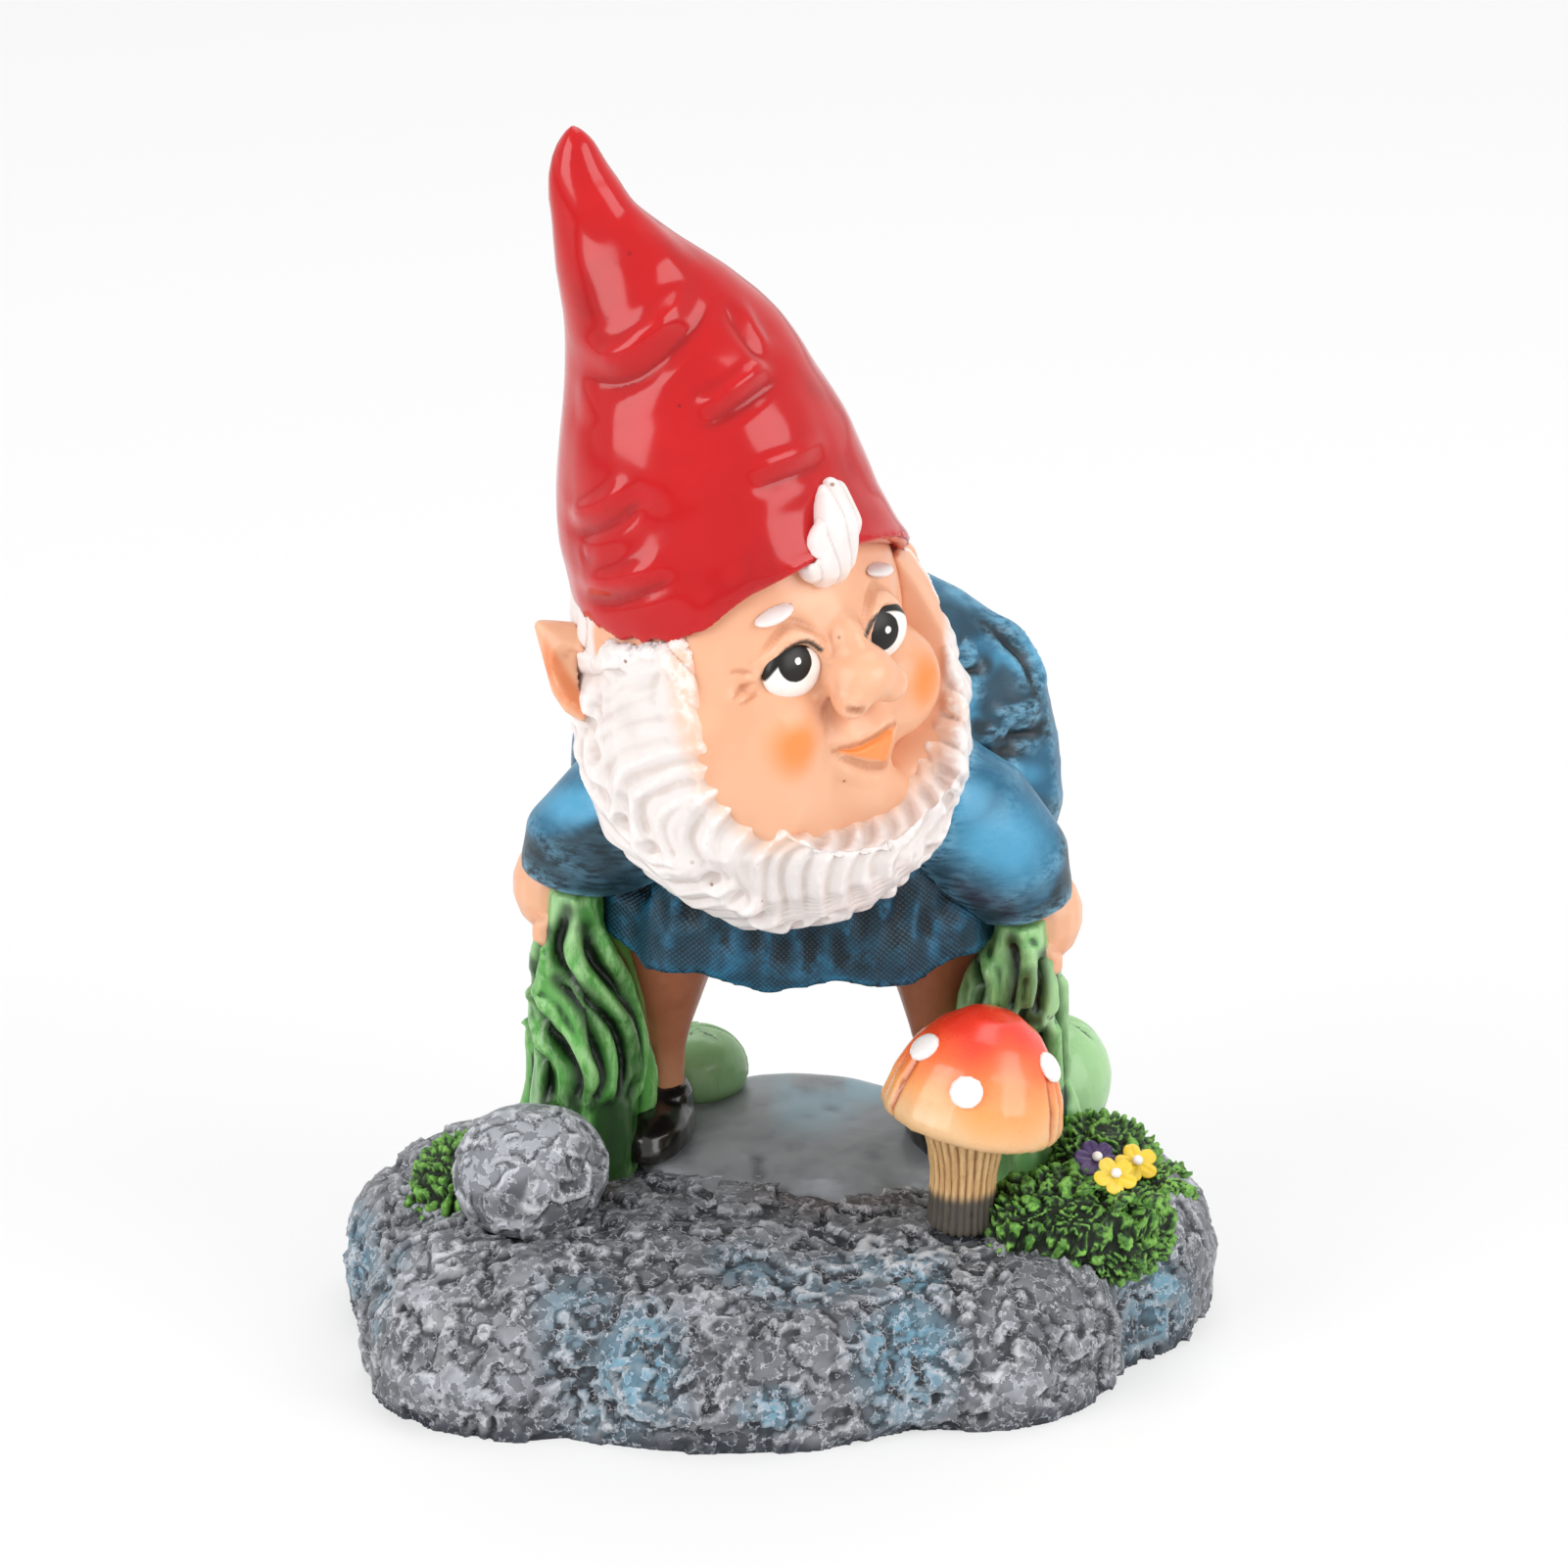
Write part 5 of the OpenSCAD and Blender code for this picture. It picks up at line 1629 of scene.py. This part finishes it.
        # The stem is painted darker towards its foot.
        stem.finish(stem_paint, "stem", soot=1 - soft(stem.p[:, 2], *self.soot))
        cap = Clay("mushroom_top", ["mushroom_cap"], self.cap_voxel, 0.1, 4)
        turn = np.array(leaning(self.cap_lean))
        q = (cap.p - np.array(self.cap)) @ turn
        a, r = np.arctan2(q[:, 1], q[:, 0]), np.hypot(q[:, 0], q[:, 1])
        turns = [(a - math.radians(groove) + math.pi) % math.tau - math.pi for groove in self.cap_grooves]
        lines = most(*(1 - soft(np.abs(turn) * r, 0.1, 0.9) for turn in turns))
        lines *= soft(q[:, 2], -0.5, 1.0) * (1 - soft(q[:, 2], 6, 10))
        cap.push(-0.5 * lines + cap.ripple(6, 98) * 0.15)
        top = np.clip(q[:, 2] / self.cap_height, 0, 1) + 0.12 * cap.ripple(7, 99)
        cap.finish(cap_paint, "cap", top=top, lines=lines)
        Clay("cap_spots", ["mushroom_spots"], self.spot_voxel, 0.12).finish(white, "white_paint")


# ---------------------------------------------------------------- paints


@dataclass(frozen=True)
class CapFinish:
    """The mushroom cap's fade from red through orange to cream."""

    name: str = "cap_enamel"
    foot: str = "E2B684"
    fades: tuple[tuple[float, float, str], ...] = (
        (0.02, 0.38, "F0A25E"), (0.3, 0.62, "F6743C"), (0.52, 0.85, "EE3B22"))
    groove: str = "C76A2B"
    wash: str = "A8481C"
    cloud: float = 0.16

    def mixed(self) -> bpy.types.Material:
        """Mixes the paint."""
        pot = Pot(self.name)
        top = pot.held("top") + pot.noise(5, 3) * self.cloud - self.cloud / 2
        colour = tint(self.foot)
        for low, high, code in self.fades:
            colour = pot.mix(top.rise(low, high), colour, tint(code))
        colour = pot.mix(pot.held("lines") * top.rise(0.7, 0.3) * 0.75, colour, tint(self.groove))
        colour = pot.mix(pot.held("fine").rise(-0.1, -0.8) * 0.6, colour, tint(self.wash))
        pot.set(Base_Color=colour, Roughness=pot.noise(2).rise(0.2, 0.8, 0.22, 0.36),
                Coat_Weight=0.25, Coat_Roughness=0.15)
        pot.bump(pot.noise(0.9, 3), 0.15, 0.1)
        return pot.material


PAINTS: dict[str, Finish | CapFinish] = {
    # The skin's orange patch is the ears' painted bowls, and painted shade on the fists' undersides.
    "skin": Finish(
        "skin_enamel", "EAB08C", "CC8A66", "F7CDB0", drift=0.3, drift_size=10, wash_power=0.5,
        hollow_power=0.45, light_power=0.35, rough=0.34, gloss=0.12, grain=0.1, pinholes=0.9,
        patches=(Patch("nape", "E9E1DE"), Patch("inner", "E58A5A"), Patch("blush", "F98A3F", 0.9),
                 Patch("lidline", "A5643C", 0.75, False), Patch("lips", "F78C3C", 0.9, False),
                 Patch("lash", "17130F", 0.95, False))),
    "hair": Finish(
        "hair_enamel", "E9E1DE", "C4B1A7", "F9F5F3", drift=0.25, wash_power=0.5, hollow_power=0.05,
        light_power=0.7, rough=0.36, gloss=0.1, grain=0.12, pinholes=0.8, speck="8A5A40",
        patches=(Patch("peach", "F2B68A", 0.6), Patch("bare", "EAB08C", 0.96, False))),
    "hat": Finish(
        "hat_lacquer", "BC0209", "7C0309", "D20A14", drift=0.4, drift_size=12, wash_power=0.3,
        hollow_power=0.15, light_power=0.3, rough=0.24, gloss=0.5, shine=0.15, grain=0.1, grain_size=0.9,
        pinholes=0.7, speck="5A0508"),
    # The tunic's cloth takes a painted highlight on its lit spots, and painted shade where it faces down and in
    # its shaded folds.
    "cloth": Finish(
        "tunic_brushed", "21607F", "0E1D25", "79B5D2", drift=0.55, drift_size=8, wash_power=0.75,
        hollow_power=0.7, light_power=0.6, light_range=(0.0, 0.7), streak=(0.45, 1, 1.6), rough=0.42,
        gloss=0.08, grain=0.3, patches=(Patch("lit", "52A5CC", 0.8), Patch("under", "0D1D24", 0.93))),
    # The knit takes painted shade where the skirt faces down and along its pleats.
    "knit": Finish(
        "tunic_knit", "123241", "070F14", "2A759A", drift=0.8, drift_size=5, wash_power=0.85,
        hollow_power=0.8, light_power=0.5, rough=0.42, grain=0.7, weave=0.7,
        patches=(Patch("under", "0A151A", 0.9),)),
    # The trousers' pale patch is partly a painted highlight; the dark patch marks the folds' bottoms and is
    # also painted shade at the cuffs' feet and the shoe's painted shadow.
    "trousers": Finish(
        "trouser_brushed", "55A046", "0F2410", "A9D694", drift=0.35, wash_power=0.78, hollow_power=0.72,
        light_power=0.6, light_range=(0.05, 0.7), streak=(1.4, 1.4, 0.4), rough=0.33, gloss=0.2, grain=0.2,
        patches=(Patch("pale", "A6D09A", 0.85), Patch("dark", "0E1C0D", 0.84, False))),
    "legs": Finish(
        "leg_enamel", "B8704F", "683820", "CE9370", drift=0.4, rough=0.4, gloss=0.05,
        patches=(Patch("ankle", "DDA078", 0.6),)),
    "shoes": Finish(
        "shoe_lacquer", "171513", "050505", "4A423C", drift=0.4, light_power=0.4, rough=0.25,
        gloss=0.5, grain=0.3),
    # The rock's pale patch is pale paint on the base and painted light on the boulder's lit side.
    "rock": Finish(
        "rock_dry_brush", "6D6F74", "2C2F34", "D6D8E0", drift=0.35, drift_size=9, wash_power=0.75,
        hollow_power=0.35, light_power=0.3, rough=0.5, grain=0.8, grain_size=0.7, chips=1.0,
        patches=(Patch("blue", "72A6BE", 0.75), Patch("brown", "6A4C42", 0.5), Patch("chalk", "B6BAC1", 0.7),
                 Patch("ridge", "DADCE0", 0.7, False), Patch("edge", "2A323C", 0.8, False))),
    "slab": Finish(
        "slab_enamel", "919498", "54565C", "B6B9C0", drift=0.6, drift_size=8, rough=0.38, gloss=0.1, grain=0.25,
        streak=(0.4, 1, 1), patches=(Patch("dirt", "5C544F", 0.5), Patch("cool", "9BC0D0", 0.7))),
    "moss": Finish(
        "moss_dry_brush", "3D6E2A", "10190B", "8FCB5C", drift=0.4, wash_power=0.9, hollow_power=0.6,
        light_power=0.75, light_range=(0.0, 0.6), rough=0.5, grain=0.4, patches=(Patch("pit", "131C0D", 0.8),)),
    # The stem's dark patch makes it darker towards its foot.
    "stem": Finish(
        "stem_enamel", "C9A06E", "8E663C", "EBCB98", drift=0.3, streak=(1.6, 1.6, 0.3),
        light_power=0.6, rough=0.4, patches=(Patch("soot", "3A3E40", 0.92, False),)),
    "white": Finish(
        "white_enamel", "F4EFEC", "C9BDB8", "FFFFFF", drift=0.2, rough=0.3, gloss=0.2, grain=0.15),
    "purple": Finish(
        "purple_enamel", "43305E", "1B1128", "9A82B4", drift=0.4, light_power=0.6, rough=0.35, grain=0.2),
    "yellow": Finish(
        "yellow_enamel", "EBCB3E", "9A6C14", "FBF0A8", drift=0.4, light_power=0.6, rough=0.35, grain=0.2),
    "cap": CapFinish(),
}


# ---------------------------------------------------------------- studio


@dataclass
class Studio:
    """A pale floor, soft lamps and an even white surround. A lamp is given by its place and power."""

    lamps: tuple[tuple[Point, float], ...] = (
        ((-0.8, -0.6, 0.6), 8.2), ((0.85, -0.5, 0.55), 7.2), ((0.1, 0.4, 1.0), 4.6))
    lamp_size: float = 0.8
    aim: Point = (0, 0, 0.06)
    surround: float = 0.42
    floor_size: float = 8.0
    floor_shade: float = 0.86
    floor_glow: float = 0.6

    def build(self) -> None:
        """Sets up the camera, the floor, the lamps and the surround."""
        SHEET.camera()
        bpy.ops.object.select_all(action="DESELECT")
        bpy.ops.mesh.primitive_plane_add(size=self.floor_size)
        floor = bpy.context.object
        floor.name = "studio_floor"
        floor.data.materials.append(self.floor_paint())
        for k, (place, watts) in enumerate(self.lamps):
            lamp = bpy.data.lights.new(f"softbox_{k}", "AREA")
            lamp.size, lamp.energy = self.lamp_size, watts
            holder = bpy.data.objects.new(f"softbox_{k}", lamp)
            holder.location = place
            holder.rotation_euler = (Vector(self.aim) - Vector(place)).to_track_quat("-Z", "Y").to_euler()
            bpy.context.scene.collection.objects.link(holder)
        self.sky()
        bpy.context.scene.view_settings.view_transform = "Standard"

    def floor_paint(self) -> bpy.types.Material:
        """Mixes a white floor that keeps the figure's shadow."""
        pot = Pot("studio_floor")
        shade = self.floor_shade
        pot.set(Base_Color=(shade, shade, shade, 1), Roughness=0.8)
        glow = pot.node("ShaderNodeEmission", {}, {"Color": (1, 1, 1, 1), "Strength": 1.0})
        share = pot.node("ShaderNodeLightPath", out="Is Camera Ray") * self.floor_glow
        both = pot.node("ShaderNodeMixShader", {}, {0: share, 1: Wire(pot, pot.shader.outputs[0]), 2: glow})
        out = next(n for n in pot.tree.nodes if n.type == "OUTPUT_MATERIAL")
        pot.tree.links.new(both.socket, out.inputs["Surface"])
        return pot.material

    def sky(self) -> None:
        """Gives the surround its even light, and pure white where it is seen."""
        world = bpy.data.worlds.new("studio_surround")
        bpy.context.scene.world = world
        world.use_nodes = True
        tree = world.node_tree
        back = tree.nodes["Background"]
        path, lift = tree.nodes.new("ShaderNodeLightPath"), tree.nodes.new("ShaderNodeMix")
        seen, both = tree.nodes.new("ShaderNodeMath"), tree.nodes.new("ShaderNodeMath")
        seen.operation = both.operation = "MAXIMUM"
        tree.links.new(path.outputs["Is Camera Ray"], seen.inputs[0])
        tree.links.new(path.outputs["Is Transmission Ray"], seen.inputs[1])
        tree.links.new(seen.outputs[0], both.inputs[0])
        tree.links.new(path.outputs["Is Glossy Ray"], both.inputs[1])
        tree.links.new(both.outputs[0], lift.inputs["Factor"])
        lift.inputs["A"].default_value, lift.inputs["B"].default_value = self.surround, 1.0
        tree.links.new(lift.outputs[0], back.inputs["Strength"])
        back.inputs["Color"].default_value = (1, 1, 1, 1)


def main() -> None:
    """Builds, paints and lights the whole figure."""
    logging.basicConfig(level=logging.INFO, format="%(name)s: %(message)s")
    paints = {name: finish.mixed() for name, finish in PAINTS.items()}
    Studio().build()
    Face().build(paints["skin"])
    Ears().build(paints["skin"])
    Eyes().build()
    Beard().build(paints["hair"])
    Hat().build(paints["hat"])
    clothes = Clothes()
    clothes.tunic(paints["knit"], paints["cloth"])
    clothes.trousers(paints["trousers"])
    Limbs().build(paints["skin"], paints["legs"], paints["shoes"])
    Ground().build(paints["rock"], paints["slab"])
    plants = Plants()
    plants.moss(paints["moss"])
    plants.petals({"purple_flower": paints["purple"], "yellow_flowers": paints["yellow"],
                   "flower_centres": paints["white"]})
    plants.mushroom(paints["cap"], paints["stem"], paints["white"])


if __name__ == "__main__":
    main()
